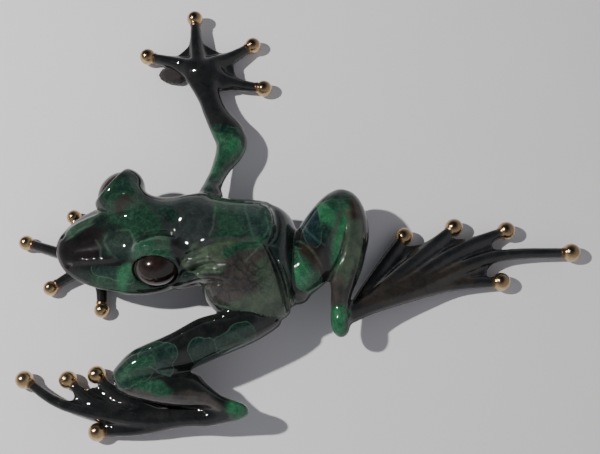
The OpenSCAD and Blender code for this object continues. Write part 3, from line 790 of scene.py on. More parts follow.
def casting_piece(number, owners, attributes):
    """One casting's share of the skin, closed where it meets its neighbours."""
    own = quads[owners == number]
    used, local = np.unique(own, return_inverse=True)
    own = local.reshape(-1, 4)
    verts, normal = place[used], normals[used]
    layers = {k: v[used] for k, v in attributes.items()}
    faces = own.tolist()
    for loop in border_loops(own):
        ring = verts[loop]
        centre = ring.mean(0) - CAP_DEPTH * 0.5 * normal[loop].mean(0)
        verts = np.vstack([verts, centre])
        normal = np.vstack([normal, normal[loop].mean(0) + (0, 0, 1e-3)])
        layers = {k: np.concatenate([v, v[loop].mean(0, keepdims=True)]) for k, v in layers.items()}
        last = len(verts) - 1
        faces += [[a, b, last] for a, b in zip(loop, loop[1:] + loop[:1])]
    node = CASTINGS[number]
    new_piece(node + "_skin", node, "patina", verts, faces, normal, layers)


# ---- colour laid on the skin, point by point
def tone(code):
    """A colour code as linear light, as bright as the metal is beside a white cloth."""
    srgb = np.array([int(code[i : i + 2], 16) / 255 for i in (0, 2, 4)])
    return np.where(srgb > 0.04045, ((srgb + 0.055) / 1.055) ** 2.4, srgb / 12.92) * BRIGHTNESS


BRIGHTNESS = 0.68
# Each tone of the patina: its colour, and how strongly it is veined
TONES = {
    "trunk": ("1a2421", 0.25),
    "limb": ("191b1b", 0.10),
    "black": ("1e1f20", 0.04),
    "soot": ("1a1718", 0.04),
    "navy": ("16282c", 0.45),
    "bottle": ("142b24", 0.5),
    "pine": ("192f29", 0.7),
    "moss": ("1b3829", 0.7),
    "fern": ("214633", 1.0),
    "leaf": ("266040", 1.0),
    "smoke": ("272d2d", 0.25),
    "olive": ("3e4a3c", 0.4),
    "clay": ("3a3634", 0.2),
    "umber": ("2c231e", 0.1),
    "bark": ("2a2622", 0.05),
    "sage": ("2e4236", 0.6),
    "slate": ("24302c", 0.4),
}
# Patches of patina: each one's place beside its limb's middle, half sizes, turn, tone, and any pale outline
OUTLINED = True
PATCHES = {
    "torso": (
        (-7.5, 10, 11.5, 9.5, -80, "moss"),
        (5.5, 9.5, 11, 5.5, -75, "pine"),
        (-14, 11.5, 9, 5, -85, "smoke"),
        (-6, -1.5, 12.5, 3.5, 5, "olive"),
        (1, -1, 7.5, 2.5, 15, "fern"),
        (-0.5, -10, 12.5, 7, 25, "clay"),
        (10.5, -13.5, 9, 5, -60, "olive"),
        (-9, -7.5, 4, 2, 10, "olive"),
    ),
    "head": (
        (19.5, 4.5, 14.5, 7.5, -40, "smoke"),
        (14.5, 5.5, 5, 2.5, -40, "bottle"),
        (-15.5, -5.5, 11, 8, 5, "soot"),
        (-15, 3.5, 7, 2, 40, "sage"),
        (0, 10, 8.5, 7, -60, "moss"),
        (1, 16.5, 4, 2.5, 20, "pine"),
        (0, 8, 3.5, 3, -50, "umber"),
        (5.5, 1, 9.5, 5.5, -45, "moss"),
        (-1.5, -5, 6.5, 4.5, -5, "slate"),
        (9.5, -6, 6.5, 2.5, 20, "fern"),
        (12.5, -9.5, 5.5, 2, 15, "fern", OUTLINED),
        (13, -5, 3.5, 2, -5, "sage"),
        (18, -6.5, 3, 2, -75, "soot"),
        (-1, -16, 10, 4.5, 10, "moss"),
        (-4, -14, 8, 2.5, -15, "pine", OUTLINED),
        (0.5, -15, 4.5, 2, 55, "leaf"),
        (-10, -10.5, 10.5, 1.5, -5, "soot"),
    ),
    "right_arm": (
        (-1, 4.5, 11.5, 7.5, -90, "fern", OUTLINED),
        (4, 7, 3, 3, 25, "leaf"),
        (-5.5, -9, 4.5, 3, -95, "pine"),
        (1, 14, 6.5, 2, -20, "bottle"),
    ),
    "right_leg": (
        (7.5, 10.5, 8.5, 5, 30, "fern", OUTLINED),
        (4, 7.5, 6.5, 3.5, -50, "leaf"),
        (9, 16.5, 5, 2, 0, "bottle"),
        (-2, 6.5, 10, 3.5, -75, "navy", OUTLINED),
        (-5, -10, 9.5, 5, -55, "fern", OUTLINED),
        (-4.5, -13.5, 4.5, 3, -45, "leaf"),
        (-0.5, -6.5, 5.5, 3, -50, "umber"),
        (5, 0, 5, 2, -65, "pine"),
        (9.5, -4.5, 15, 3.5, -95, "olive"),
        (14.5, -1.5, 11.5, 2, -90, "olive"),
        (8.5, 0, 9, 1.5, -100, "leaf"),
        (13.5, 10.5, 4.5, 2, -80, "umber"),
        (7, -17.5, 6.5, 3.5, -90, "clay"),
        (8, -28, 5, 3.5, -95, "leaf"),
    ),
    "right_foot": (
        (-14, -4, 24, 5, 15, "bark"),
    ),
    "left_leg": (
        (-20, -8.5, 9, 6, 30, "bottle", OUTLINED),
        (-12.5, -6, 6.5, 5, -30, "pine", OUTLINED),
        (-19.5, -10, 6, 2.5, 25, "fern"),
        (12.5, 0, 7, 4, 25, "bottle", OUTLINED),
        (12, -2, 5, 1.5, 30, "moss"),
        (2.5, -3.5, 4.5, 4, 15, "bottle", OUTLINED),
        (-7, -18.5, 16, 2, -5, "clay"),
        (-14, -15.5, 5.5, 2, -10, "fern"),
        (14, -22, 4.5, 3.5, -35, "leaf"),
    ),
}
# The node that each group of patches is laid out from, the castings that it may colour, and their own tone
GROUPS = {
    "torso": ("torso_casting", ("torso_casting", "head_casting"), "trunk"),
    "head": ("head_casting", ("torso_casting", "head_casting"), "trunk"),
    "right_arm": ("right_upper_arm", ("right_upper_arm", "right_forearm_and_hand"), "black"),
    "right_leg": ("right_thigh", ("right_thigh", "right_shank"), "limb"),
    "right_foot": ("right_foot", ("right_foot",), "black"),
    "left_leg": ("left_thigh", ("left_thigh", "left_shank"), "limb"),
}
# How softly an outlined patch and a plain one end, in millimetres
PATCH_SOFT, PLAIN_SOFT = 0.35, 1.4
# Pale and dark lines, laid out on the same frames as the reliefs: (half width, points). The pale ones are
# partly pale patina lines and partly painted highlights on fold ridges, lid rolls and rims; the dark ones are
# mostly painted shade in creases and grooves
PALE_LINES_AND_HIGHLIGHTS = {
    "body": (
        (0.45, ((20, 2.5), (17, 2.5), (14, 2))),
        (0.4, ((18.5, 4), (13.5, 4))),
        (0.45, ((15.5, 5.5), (11.5, 6), (7.5, 5.5))),
        (0.4, ((17, 7), (12.5, 7.5), (9, 8))),
        (0.4, ((2.5, 6), (0, 3), (-2, 1), (-3.5, -1))),
        (0.5, ((-6, -18.5), (-7.5, -14), (-7, -7.5), (-6.5, -2.5))),
        (0.4, ((-11, 2.5), (-12.5, 6.5), (-13, 10.5), (-12, 15.5))),
        (0.4, ((12, -18), (12.5, -9.5), (13.5, -3))),
        (0.4, ((3, -20), (1, -11), (-1, -4.5), (-2, -2))),
        (0.4, ((-4.5, -16), (-5.5, -9.5), (-5.5, -5.5), (-3.5, -3))),
    ),
    "head": (
        (0.5, ((-0.5, 8), (-4.5, 8.5), (-9, 10))),
        (0.4, ((10, -1), (11.5, 3), (10.5, 8), (8.5, 10.5))),
        (0.4, ((8, -1), (3, 1.5), (2, 6), (4, 9.5))),
        (0.4, ((26, -3.5), (18.5, -6), (12, -6))),
        (0.4, ((14.5, -0.5), (13.5, 4), (15, 8.5))),
    ),
    "far_leg": (
        (0.45, ((-22, 5.5), (-17, 5), (-13, 1.5), (-9, -5))),
        (0.4, ((-20.5, 3.5), (-20.5, -2.5), (-17, -7), (-13, -10))),
        (0.35, ((-18.5, 3), (-17, -1), (-14, -6.5))),
        (0.4, ((-17, 12.5), (-12.5, 6.5), (-7.5, 2.5))),
        (0.4, ((-2.5, 8), (-4, 2.5), (-6, -3.5), (-9, -8))),
        (0.4, ((-3.5, -1.5), (-5, -5), (-6.5, -8.5))),
    ),
}
DARK_LINES_AND_CREASE_SHADE = {
    "body": (
        (0.7, ((24, 2), (20.5, 0.5), (17, -1), (10, -3), (1.5, -3), (-2.5, -2))),
        (0.55, ((23, 3.5), (19.5, 2), (15.5, 1))),
        (0.5, ((21.5, 4), (18, 3.5), (14, 3))),
        (0.6, ((16, 8), (12, 8.5), (8, 8.5))),
        (0.6, ((21.5, 8), (16, 10), (13.5, 11.5))),
        (0.35, ((4, 3), (1, 7), (-2.5, 10))),
        (0.35, ((4.5, -1), (4, 4))),
        (0.4, ((0, 14), (-2.5, 12), (-4.5, 10.5))),
        (0.8, ((-4.5, -1.5), (-6.5, 3), (-8.5, 9))),
    ),
    "head": (
        (0.6, ((21.5, 7.5), (15, 9), (10, 10), (5, 11.5))),
        (0.8, ((1.5, 7), (-2, 5.5), (-6.5, 6), (-10.5, 7.5))),
        (1.4, ((-11.5, 9.5), (-13.5, 12.5), (-13.5, 15.5))),
    ),
    "far_leg": (
        (0.6, ((-1.5, 8.5), (-3, 2.5), (-5.5, -3.5), (-8, -8))),
    ),
}
LINE_PLANS = {
    "body": (body, ("torso_casting",)),
    "head": (head, ("head_casting", "torso_casting")),
    "far_leg": (far_leg, ("right_thigh", "right_shank")),
}
# Size and depth in millimetres of the noise that makes the patches' rims and the pale and dark lines waver
WAVES = ((5, 1.3, (3, 5, 7)), (1.6, 0.35, (13, 15, 17)))
JITTER = ((3, 0.45, (23, 25, 27)),)
# Where the back's lacquer has crazed: place beside the torso's middle, half sizes and turn
CRACKED = (-1.5, -9.5, 15, 10, 20)


def value_noise(p, size, seed):
    """Smooth noise from -1 to 1 in space, with features of that many millimetres."""
    cells = np.random.default_rng(seed).uniform(-1, 1, (32, 32, 32))
    base = np.floor(p / size).astype(int)
    return trilinear(cells, base, smooth_step(p / size - base, 0, 1))


def patch_distance(p, centre, patch):
    """Millimetres outside (or, below zero, inside) a rounded patch seen from above."""
    dx, dy, half_long, half_wide, turn = patch[:5]
    c, s = math.cos(math.radians(turn)), math.sin(math.radians(turn))
    x, y = p[:, 0] - centre[0] - dx, p[:, 1] - centre[1] - dy
    u, v = np.abs(x * c + y * s) / half_long, np.abs(y * c - x * s) / half_wide
    size = (u**2.6 + v**2.6) ** (1 / 2.6)
    return (size - 1) * np.hypot(x, y) / np.maximum(size, 0.2)


casting_at = np.full(len(place), 0)
owners = quad_owners()
for corner in range(4):
    casting_at[quads[:, corner]] = owners


def on(nodes):
    """Which points of the skin belong to these castings."""
    return np.isin(casting_at, [CASTINGS.index(n) for n in nodes])


def wavered(waves):
    """The skin's points, pushed about by smooth noise."""
    moved = place
    for size, depth, seeds in waves:
        moved = moved + depth * np.stack([value_noise(place, size, seed) for seed in seeds], 1)
    return moved


def lines_and_painted_light(groups):
    """How strongly each point of the upper skin is drawn on by a set of lines, from 0 to 1."""
    drawn = np.zeros(len(place))
    for key, lines in groups.items():
        plan, nodes = LINE_PLANS[key]
        mask = on(nodes) & (normals[:, 2] > 0.1)
        for half_width, line in lines:
            d, _, where = plan_distance(smooth_line(plan.line(*line)), jittered[mask, 0], jittered[mask, 1])
            ends = smooth_step(where, -0.001, 0.15) * smooth_step(1 - where, -0.001, 0.15)
            drawn[mask] = np.maximum(drawn[mask], np.exp(-((d / half_width) ** 2)) * ends)
    return drawn


waved, jittered = wavered(WAVES), wavered(JITTER)
own_tone = {CASTINGS.index(n): own for _, nodes, own in GROUPS.values() for n in nodes}
names = [own_tone.get(i, "black") for i in range(len(CASTINGS))]
tint = np.array([tone(TONES[n][0]) for n in names])[casting_at]
veined = np.array([TONES[n][1] for n in names])[casting_at]
FAR_EDGE = 9.0
edge = np.full(len(place), FAR_EDGE)
# The near flank, between the spine, the rear rim and the front edge, is laid over in a paler olive: partly
# its patina and partly a painted sheen, since that side of the torso mirrors the bright sky
flank = np.vstack([smooth_line(spine), smooth_line(rear_near), smooth_line(front_edge)[::-1]])[:, :2]
mask = on(["torso_casting"])
edge[mask] = inside_outline(flank, waved[mask, 0], waved[mask, 1])
cover = smooth_step(-edge[mask], -PATCH_SOFT, PATCH_SOFT)[:, None]
tint[mask] = tint[mask] * (1 - cover) + tone(TONES["olive"][0]) * cover
for key, patches in PATCHES.items():
    anchor, allowed, _ = GROUPS[key]
    mask = on(allowed)
    for patch in patches:
        outlined = len(patch) > 6
        d = patch_distance(waved[mask], middle(anchor), patch)
        soft = PATCH_SOFT if outlined else PLAIN_SOFT
        cover = smooth_step(-d, -soft, soft)[:, None]
        code, vein = TONES[patch[5]]
        tint[mask] = tint[mask] * (1 - cover) + tone(code) * cover
        veined[mask] = veined[mask] * (1 - cover[:, 0]) + vein * cover[:, 0]
        # A plain patch wipes out the outlines that it covers
        here = edge[mask]
        edge[mask] = np.where(d < 0.6, d if outlined else np.where(d < -0.8, FAR_EDGE, here), here)
edge = np.clip(edge, -FAR_EDGE, FAR_EDGE)
cracked = smooth_step(-patch_distance(waved, middle("torso_casting"), CRACKED), -1.0, 2.5)
cracked = np.where(on(["torso_casting"]), cracked, 0)
# Worn pale where the skin is sharply convex, dark where it is hollow
curvature = -4 * ((neighbour_mean(place) - place) * normals).sum(1) / STEP**2
for _ in range(2):
    curvature = neighbour_mean(curvature)
worn = smooth_step(curvature, 1.0, 2.2) - smooth_step(-curvature, 0.3, 1.3)
# Painted highlights and pale patina lines raise it; painted shade in creases and grooves lowers it
drawn = lines_and_painted_light(PALE_LINES_AND_HIGHLIGHTS) - lines_and_painted_light(DARK_LINES_AND_CREASE_SHADE)
ATTRIBUTES = dict(tint=np.column_stack([tint, veined]), edge=edge, cracked=cracked, worn=worn, drawn=drawn)


# ---- materials
class Shader:
    """A material built node by node, with places measured in millimetres and colours as (r, g, b)."""

    def __init__(self, name):
        self.material = bpy.data.materials.new(name)
        self.material.use_nodes = True
        self.tree = self.material.node_tree
        self.mm = self.vector("SCALE", Vector=self.add("TexCoord")["Object"], Scale=1000)

    def add(self, kind, **settings):
        """A node's outputs. Settings are its own properties or else its sockets, of which i0 is the first."""
        node = self.tree.nodes.new("ShaderNode" + kind)
        own = [key for key in settings if hasattr(node, key)]
        for key in own:
            setattr(node, key, settings.pop(key))
        for key, value in settings.items():
            self.feed(node.inputs[int(key[1:]) if key[1:].isdigit() else key.replace("_", " ")], value)
        return node.outputs

    def feed(self, socket, value):
        if isinstance(value, bpy.types.NodeSocket):
            self.tree.links.new(value, socket)
        else:
            socket.default_value = (*value, 1) if socket.type == "RGBA" else value

    def attribute(self, name, output="Fac"):
        return self.add("Attribute", attribute_name=name)[output]

    def noise(self, scale, detail=5, rough=0.6, twist=0, output="Fac"):
        sockets = dict(Vector=self.mm, Scale=scale, Detail=detail, Roughness=rough, Distortion=twist)
        return self.add("TexNoise", **sockets)[output]

    def cells(self, scale, vector=None, feature="DISTANCE_TO_EDGE"):
        return self.add("TexVoronoi", feature=feature, Vector=vector or self.mm, Scale=scale)["Distance"]

    def vector(self, operation, **inputs):
        return self.add("VectorMath", operation=operation, **inputs)[0]

    def math(self, operation, a, b=0.0):
        return self.add("Math", operation=operation, i0=a, i1=b)[0]

    def times(self, a, b):
        return self.math("MULTIPLY", a, b)

    def plus(self, a, b):
        return self.math("ADD", a, b)

    def spread(self, value, low, high, to_low=0.0, to_high=1.0):
        return self.add("MapRange", i0=value, i1=low, i2=high, i3=to_low, i4=to_high)[0]

    def vary(self, noise, low=0.0, high=1.0):
        """The middle stretch of a noise, spread between two values."""
        return self.spread(noise, 0.3, 0.7, low, high)

    def mix(self, share, a, b, blend="MIX"):
        return self.add("Mix", data_type="RGBA", blend_type=blend, i0=share, i6=a, i7=b)[2]

    def scaled(self, a, b):
        return self.mix(1.0, a, b, "MULTIPLY")

    def over(self, colour, value, low, high, most, other):
        """A colour with another laid over it: none where the value is low, the most where it is high."""
        return self.mix(self.spread(value, low, high, 0.0, most), colour, other)

    def warped(self, scale, reach):
        push = self.vector("SUBTRACT", i0=self.noise(scale, output="Color"), i1=(0.5, 0.5, 0.5))
        return self.vector("ADD", i0=self.mm, i1=self.vector("SCALE", Vector=push, Scale=reach))

    def line(self, distance, half_width):
        """1 on the line where a distance is zero, falling to 0 at that many millimetres."""
        return self.spread(self.math("ABSOLUTE", distance), 0.0, half_width, 1.0, 0.0)

    def bump(self, height, strength, depth, **below):
        return self.add("Bump", Height=height, Strength=strength, Distance=depth * MM, **below)[0]

    def finish(self, **sockets):
        for key, value in sockets.items():
            self.feed(self.tree.nodes["Principled BSDF"].inputs[key.replace("_", " ")], value)
        return self.material


# Near-black for the dark patina in hollows and for the painted shade in creases and grooves
DARK_PATINA_AND_SHADE = (0.008, 0.010, 0.010)


def patina():
    """Chemical patina under gloss lacquer: mottled greens, pale outlines and veins, fine dark cracks, dark
    patina in hollows, with painted highlights along ridges and rims and painted shade in creases.
    """
    s = Shader("patina")
    tint, veined = s.attribute("tint", "Color"), s.attribute("tint", "Alpha")
    edge, cracked, worn = s.attribute("edge"), s.attribute("cracked"), s.attribute("worn")
    drawn = s.times(s.attribute("drawn"), s.spread(s.noise(0.6, 4), 0.3, 0.6, 0.35, 1.0))
    cloud = s.noise(0.22, 6, 0.62, 0.6)
    grain = s.noise(1.3, 6, 0.68)
    mottle = s.add(
        "CombineColor", i0=s.vary(cloud, 0.5, 1.5), i1=s.vary(cloud, 0.62, 1.42), i2=s.vary(cloud, 0.66, 1.36)
    )[0]
    colour = s.scaled(tint, mottle)
    colour = s.over(colour, grain, 0.35, 0.75, 0.55, s.scaled(colour, (1.7, 1.55, 1.6)))
    light = s.mix(0.62, s.scaled(colour, (1.9, 2.0, 1.9)), (0.12, 0.23, 0.16))
    vein = s.times(s.line(s.cells(0.42, s.warped(0.6, 4)), 0.09), 0.7)
    thread = s.line(s.math("SUBTRACT", s.noise(0.24, 4, 0.55, 2.2), 0.5), 0.014)
    web_of_veins = s.times(s.math("MAXIMUM", vein, thread), s.spread(cloud, 0.35, 0.6, 0.1, 0.5))
    colour = s.mix(s.times(web_of_veins, veined), colour, light)
    wobble = s.times(s.math("SUBTRACT", grain, 0.5), 0.7)
    outline = s.times(s.line(s.plus(edge, wobble), 0.3), 0.5)
    colour = s.mix(s.times(outline, s.spread(grain, 0.3, 0.62, 0.3, 1.0)), colour, light)
    fine_crack = s.times(s.line(s.cells(0.3, s.warped(0.35, 3.2)), 0.05), 0.6)
    crack = s.math("MAXIMUM", s.line(s.cells(0.13, s.warped(0.3, 5)), 0.05), fine_crack)
    crack = s.times(crack, cracked)
    colour = s.mix(s.times(crack, 0.75), colour, (0.012, 0.013, 0.014))
    colour = s.over(colour, worn, 0.1, 1.0, 0.2, light)
    colour = s.over(colour, worn, -0.1, -1.0, 0.6, DARK_PATINA_AND_SHADE)
    # Drawn lines: pale patina lines and painted highlights along fold ridges, lid rolls and rims, then
    # painted shade in creases and grooves
    colour = s.over(colour, drawn, 0.1, 1.0, 0.34, light)
    colour = s.over(colour, drawn, -0.1, -1.0, 0.85, DARK_PATINA_AND_SHADE)
    orange_peel = s.bump(s.noise(0.45, 2, 0.4), 0.10, 0.08)
    return s.finish(
        Base_Color=colour,
        Roughness=s.vary(s.noise(0.8, 4), 0.42, 0.62),
        Normal=s.bump(s.plus(grain, crack), 0.12, 0.05, Normal=orange_peel),
        Coat_Normal=orange_peel,
        Coat_Weight=1.0,
        Coat_Roughness=0.045,
        Coat_IOR=1.5,
        Specular_IOR_Level=0.01,
    )


def gold():
    """Bronze tips rubbed bright, darker towards the collar, with a painted dark reflection mottling their
    tops, under the same lacquer.
    """
    s = Shader("polished_gold")
    collar, crown = s.attribute("collar"), s.attribute("crown")
    cloud, grain = s.noise(0.5, 5, 0.6, 0.8), s.noise(3, 5, 0.7)
    colour = s.mix(s.spread(cloud, 0.35, 0.7), (0.40, 0.26, 0.12), (0.72, 0.55, 0.31))
    tarnish = s.times(s.spread(s.plus(collar, s.times(grain, 0.35)), 0.35, 0.95), 0.92)
    colour = s.mix(tarnish, colour, (0.09, 0.045, 0.02))
    # Painted reflection: the tops of the balls are darkened in mottled brown where they would mirror the dim
    # room overhead
    painted_top_reflection = s.times(crown, s.spread(s.plus(cloud, s.times(grain, 0.5)), 0.5, 0.9, 0.3, 1.0))
    colour = s.mix(painted_top_reflection, colour, (0.07, 0.032, 0.022))
    return s.finish(
        Base_Color=s.over(colour, grain, 0.55, 0.72, 0.6, (0.16, 0.07, 0.035)),
        Metallic=1.0,
        Roughness=s.plus(s.vary(cloud, 0.12, 0.24), s.times(tarnish, 0.2)),
        Normal=s.bump(s.plus(grain, s.times(s.noise(0.9, 3), 2.0)), 0.35, 0.12),
        Coat_Weight=0.6,
        Coat_Roughness=0.05,
    )


def eye_stone():
    """A polished, nearly black bead with a brown glow deep inside."""
    s = Shader("eye_stone")
    cloud, grain = s.noise(0.25, 4, 0.5, 1.2), s.noise(1.8)
    colour = s.mix(s.spread(cloud, 0.35, 0.7), (0.007, 0.005, 0.005), (0.024, 0.013, 0.011))
    return s.finish(
        Base_Color=s.over(colour, grain, 0.55, 0.8, 0.4, (0.035, 0.024, 0.022)),
        Roughness=s.vary(grain, 0.10, 0.2),
        Normal=s.bump(s.noise(0.4, 2), 0.15, 0.05),
        Coat_Weight=0.55,
        Coat_Roughness=0.03,
        Specular_IOR_Level=0.2,
    )


def felt():
    """Matted reddish-brown fibre, worn darker in places."""
    s = Shader("rest_felt")
    fibre, clump = s.noise(3.2, 7, 0.75, 1.5), s.noise(0.55, 4)
    colour = s.mix(s.vary(clump), (0.006, 0.005, 0.005), (0.022, 0.013, 0.012))
    height = s.plus(fibre, s.times(s.cells(1.6, s.warped(1.2, 0.8), "F1"), 0.6))
    return s.finish(
        Base_Color=s.over(colour, fibre, 0.5, 0.8, 0.7, (0.05, 0.033, 0.03)),
        Roughness=s.vary(fibre, 0.85, 1.0),
        Normal=s.bump(height, 0.7, 0.25),
        Sheen_Weight=0.3,
    )


def pin_steel():
    """Drawn steel rod: fine drawing lines, with a brown bloom of rust."""
    s = Shader("pin_steel")
    lines = s.noise(6, 3, 0.5)
    bloom = s.spread(s.noise(0.7, 5, 0.65, 0.5), 0.5, 0.72)
    colour = s.mix(s.vary(lines), (0.34, 0.34, 0.35), (0.52, 0.51, 0.5))
    return s.finish(
        Base_Color=s.mix(s.times(bloom, 0.7), colour, (0.2, 0.1, 0.05)),
        Metallic=s.spread(bloom, 0.0, 1.0, 1.0, 0.3),
        Roughness=s.plus(s.vary(lines, 0.28, 0.42), s.times(bloom, 0.3)),
        Normal=s.bump(lines, 0.3, 0.03),
    )


def table():
    """Plain pale matt floor."""
    s = Shader("pale_floor")
    colour = s.mix(s.noise(0.012, 3), (0.72, 0.71, 0.74), (0.78, 0.77, 0.79))
    weave = s.noise(1.6, 3, 0.7)
    return s.finish(Base_Color=colour, Roughness=s.vary(weave, 0.85, 0.95), Normal=s.bump(weave, 0.2, 0.06))


MATERIALS = dict(
    floor=table(), patina=patina(), gold=gold(), eye=eye_stone(), pad=felt(), steel=pin_steel()
)
for number, node in enumerate(CASTINGS):
    casting_piece(number, owners, ATTRIBUTES)


def lathe(centre, axes, outline, sides=48):
    """Points and faces of a form turned about the third axis. Its outline goes pole to pole as (r, h)."""
    axes = np.array(axes)
    turn = np.linspace(0, 2 * math.pi, sides, endpoint=False)
    ring = np.cos(turn)[:, None] * axes[0] + np.sin(turn)[:, None] * axes[1]
    verts = [centre + outline[0][1] * axes[2]]
    for r, h in outline[1:-1]:
        verts += list(centre + r * ring + h * axes[2])
    verts.append(centre + outline[-1][1] * axes[2])
    rows = len(outline) - 2
    faces = [[0, 1 + j, 1 + (j + 1) % sides] for j in range(sides)]
    for i in range(rows - 1):
        a, b = 1 + i * sides, 1 + (i + 1) * sides
        faces += [[a + j, b + j, b + (j + 1) % sides, a + (j + 1) % sides] for j in range(sides)]
    last, a = len(verts) - 1, 1 + (rows - 1) * sides
    faces += [[last, a + (j + 1) % sides, a + j] for j in range(sides)]
    return np.array(verts), faces


def arc(r, start, end, number):
    """Outline points of a sphere, by angle in degrees from its far pole."""
    return [(r * math.sin(a), r * math.cos(a)) for a in np.radians(np.linspace(start, end, number))]


# Each eye bead is whole where it shows, and drawn in behind the lids that hold it
for side, centre in EYES.items():
    forward, look, third = eye_axes[side]
    verts, faces = lathe(np.zeros(3), np.eye(3), arc(1, 0, 180, 48), 72)
    hidden = smooth_step(LID_EDGE[side] / EYE_SIZE[1] - 0.12 - verts[:, 2], 0.0, 0.5)
    verts[:, :2] *= (1 - 0.35 * hidden)[:, None]
    verts[:, 2] *= 1 - 0.2 * hidden
    verts = centre + (verts * (EYE_SIZE[0], EYE_SIZE[2], EYE_SIZE[1])) @ np.array([forward, third, look])
    new_piece(side + "_eye_bead", side + "_eye", "eye", verts, faces)

# How dark the tops of the balls of each hand and foot are painted: a painted reflection of the dim room
# overhead
PAINTED_TOP_REFLECTION = {"right_forearm_and_hand": 1.0, "left_forearm_and_hand": 0.6, "right_foot": 0.9, "left_foot": 0.5}

# Outline of a collar: past the toe's radius, and in radii of the ball
COLLAR = [(0.32, -0.93), (0.16, -1.06), (0.08, -1.2), (-0.15, -1.3)]

# Ball tips: a polished ball that runs back into a short collar round the toe
for node, end in LIMB_ENDS.items():
    ball_r = end["ball_r"]
    toe_r = end["bar"][2]
    outline = arc(ball_r, 0, 140, 26) + [(toe_r + r, h * ball_r) for r, h in COLLAR] + [(0, -1.3 * ball_r)]
    all_verts, all_faces, all_collar, all_crown = [], [], [], []
    for ball, bends in zip(end["balls"], end["bends"]):
        out = unit(ball - np.array(bends[1]))
        across = unit(np.cross(out, (0, 0, 1)))
        verts, faces = lathe(ball, (across, np.cross(out, across), out), outline)
        all_faces += [[i + sum(map(len, all_verts)) for i in face] for face in faces]
        all_collar.append(smooth_step((ball - verts) @ out, 0.55 * ball_r, 1.15 * ball_r))
        all_crown.append(PAINTED_TOP_REFLECTION[node] * smooth_step((verts[:, 2] - ball[2]) / ball_r, 0.35, 0.95))
        all_verts.append(verts)
    layers = {"collar": np.concatenate(all_collar), "crown": np.concatenate(all_crown)}
    new_piece(end["tips"] + "_balls", end["tips"], "gold", np.vstack(all_verts), all_faces, attributes=layers)

# Felt pad under the raised palm: a matted lump with a ragged rim
pad_low, pad_high = (np.array(v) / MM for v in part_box("palm_pad"))
pad_mid, pad_half = (pad_low + pad_high) / 2, (pad_high - pad_low) / 2
PAD_RIM = [(0.5 + 0.5 * math.sin(a) ** 0.8, math.cos(a)) for a in np.linspace(0.15, math.pi - 0.15, 22)]
verts, faces = lathe(np.zeros(3), np.eye(3), [(0, 1), (0.5, 0.97), *PAD_RIM, (0.5, -1), (0, -1)], 120)
rough = value_noise(verts * pad_half, 2.2, 31) * 0.5 + value_noise(verts * pad_half, 0.8, 33) * 0.35
rim = np.clip(np.hypot(verts[:, 0], verts[:, 1]), 0, 1)
verts[:, :2] *= np.minimum(0.87 + 0.2 * rough * rim, 1.0)[:, None]
verts[:, 2] = np.where(verts[:, 2] > 0, verts[:, 2] * (0.92 + 0.08 * rough), verts[:, 2])
new_piece("palm_felt", "palm_pad", "pad", pad_mid + verts * pad_half, faces)

# Plug over the core hole in the belly, with a chamfered face and a shallow dished middle
plug_low, plug_high = (np.array(v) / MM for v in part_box("belly_plug"))
plug_r = (plug_high[0] - plug_low[0]) / 2
PLUG_FACE = [(0, 0.35), (0.35, 0.33), (0.6, 0.22), (0.78, 0.06)]
PLUG_FACE += [(0.86, 0), (0.93, 0.02), (0.98, 0.14), (1, 0.4)]
tall = plug_high[2] - plug_low[2]
plug_outline = [(r * plug_r, h) for r, h in PLUG_FACE]
plug_outline += [(plug_r, tall * 0.5), (plug_r, tall - 0.5), (plug_r - 0.4, tall), (0, tall)]
plug_foot = np.append(((plug_low + plug_high) / 2)[:2], plug_low[2])
verts, faces = lathe(plug_foot, ((0, 1, 0), (1, 0, 0), (0, 0, 1)), plug_outline, 64)
new_piece("belly_plug_disc", "belly_plug", "steel", verts, faces)

for node in HIDDEN_PINS:
    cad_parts[node].data.materials.clear()
    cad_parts[node].data.materials.append(MATERIALS["steel"])


# ---- stage
def placed(name, data, where=(0, 0, 0), facing=None):
    """A new object in the scene, facing that way if one is given."""
    thing = bpy.data.objects.new(name, data)
    thing.location = where
    if facing:
        thing.rotation_euler = facing.to_track_quat("-Z", "Y").to_euler()
    bpy.context.scene.collection.objects.link(thing)
    return thing


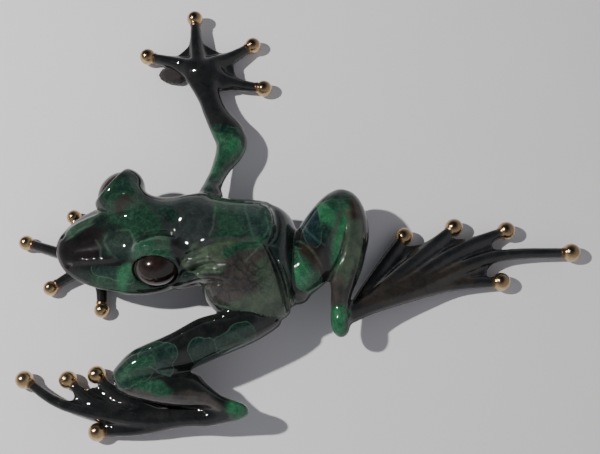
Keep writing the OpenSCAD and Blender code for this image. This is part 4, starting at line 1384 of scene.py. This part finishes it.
FLOOR_HALF = 4.0
floor_mesh = bpy.data.meshes.new("floor")
floor_corners = [(x * FLOOR_HALF, y * FLOOR_HALF, 0) for x, y in ((-1, -1), (1, -1), (1, 1), (-1, 1))]
floor_mesh.from_pydata(floor_corners, [], [(0, 1, 2, 3)])
floor_mesh.materials.append(MATERIALS["floor"])
floor = placed("floor", floor_mesh)

# One small strong lamp from the left, a little off overhead. It gives hard shadows and small glints
KEY_PLACE = Vector((-0.52, 0.05, 0.58))
KEY_AIM = Vector((0, 0, 0.01))
key = bpy.data.lights.new("key", "AREA")
key.shape = "DISK"
key.size = 0.03
key.energy = 7.4
key.color = (1.0, 0.975, 0.94)
placed("key", key, KEY_PLACE, KEY_AIM - KEY_PLACE)

# A pale room that is dimmest overhead, a little to the far side
world = bpy.data.worlds.new("studio")
bpy.context.scene.world = world
world.use_nodes = True
sky = world.node_tree
background = sky.nodes["Background"]
coordinate = sky.nodes.new("ShaderNodeTexCoord")
ramp = sky.nodes.new("ShaderNodeValToRGB")
darkest = sky.nodes.new("ShaderNodeVectorMath")
darkest.operation = "DOT_PRODUCT"
darkest.inputs[1].default_value = (-0.35, 0.30, 0.89)
sky.links.new(coordinate.outputs["Generated"], darkest.inputs[0])
sky.links.new(darkest.outputs["Value"], ramp.inputs["Fac"])
sky.links.new(ramp.outputs["Color"], background.inputs["Color"])
SKY = (
    (0.0, (0.97, 0.96, 0.99, 1)),
    (0.42, (0.82, 0.82, 0.86, 1)),
    (0.68, (0.26, 0.27, 0.31, 1)),
    (0.88, (0.06, 0.065, 0.08, 1)),
)
ramp.color_ramp.elements.remove(ramp.color_ramp.elements[1])
for i, (where, colour) in enumerate(SKY):
    stop = ramp.color_ramp.elements[0] if i == 0 else ramp.color_ramp.elements.new(where)
    stop.position = where
    stop.color = colour
background.inputs["Strength"].default_value = 0.66

CAMERA_ELEVATION = math.radians(70)
CAMERA_DISTANCE = 0.330
CAMERA_TARGET = Vector((0.00055, -0.0083, 0.008))
camera_data = bpy.data.cameras.new("camera")
camera_data.lens = 55.62
camera_data.sensor_width = 36
back = Vector((0, -math.cos(CAMERA_ELEVATION), math.sin(CAMERA_ELEVATION)))
bpy.context.scene.camera = placed("camera", camera_data, CAMERA_TARGET + CAMERA_DISTANCE * back, -back)
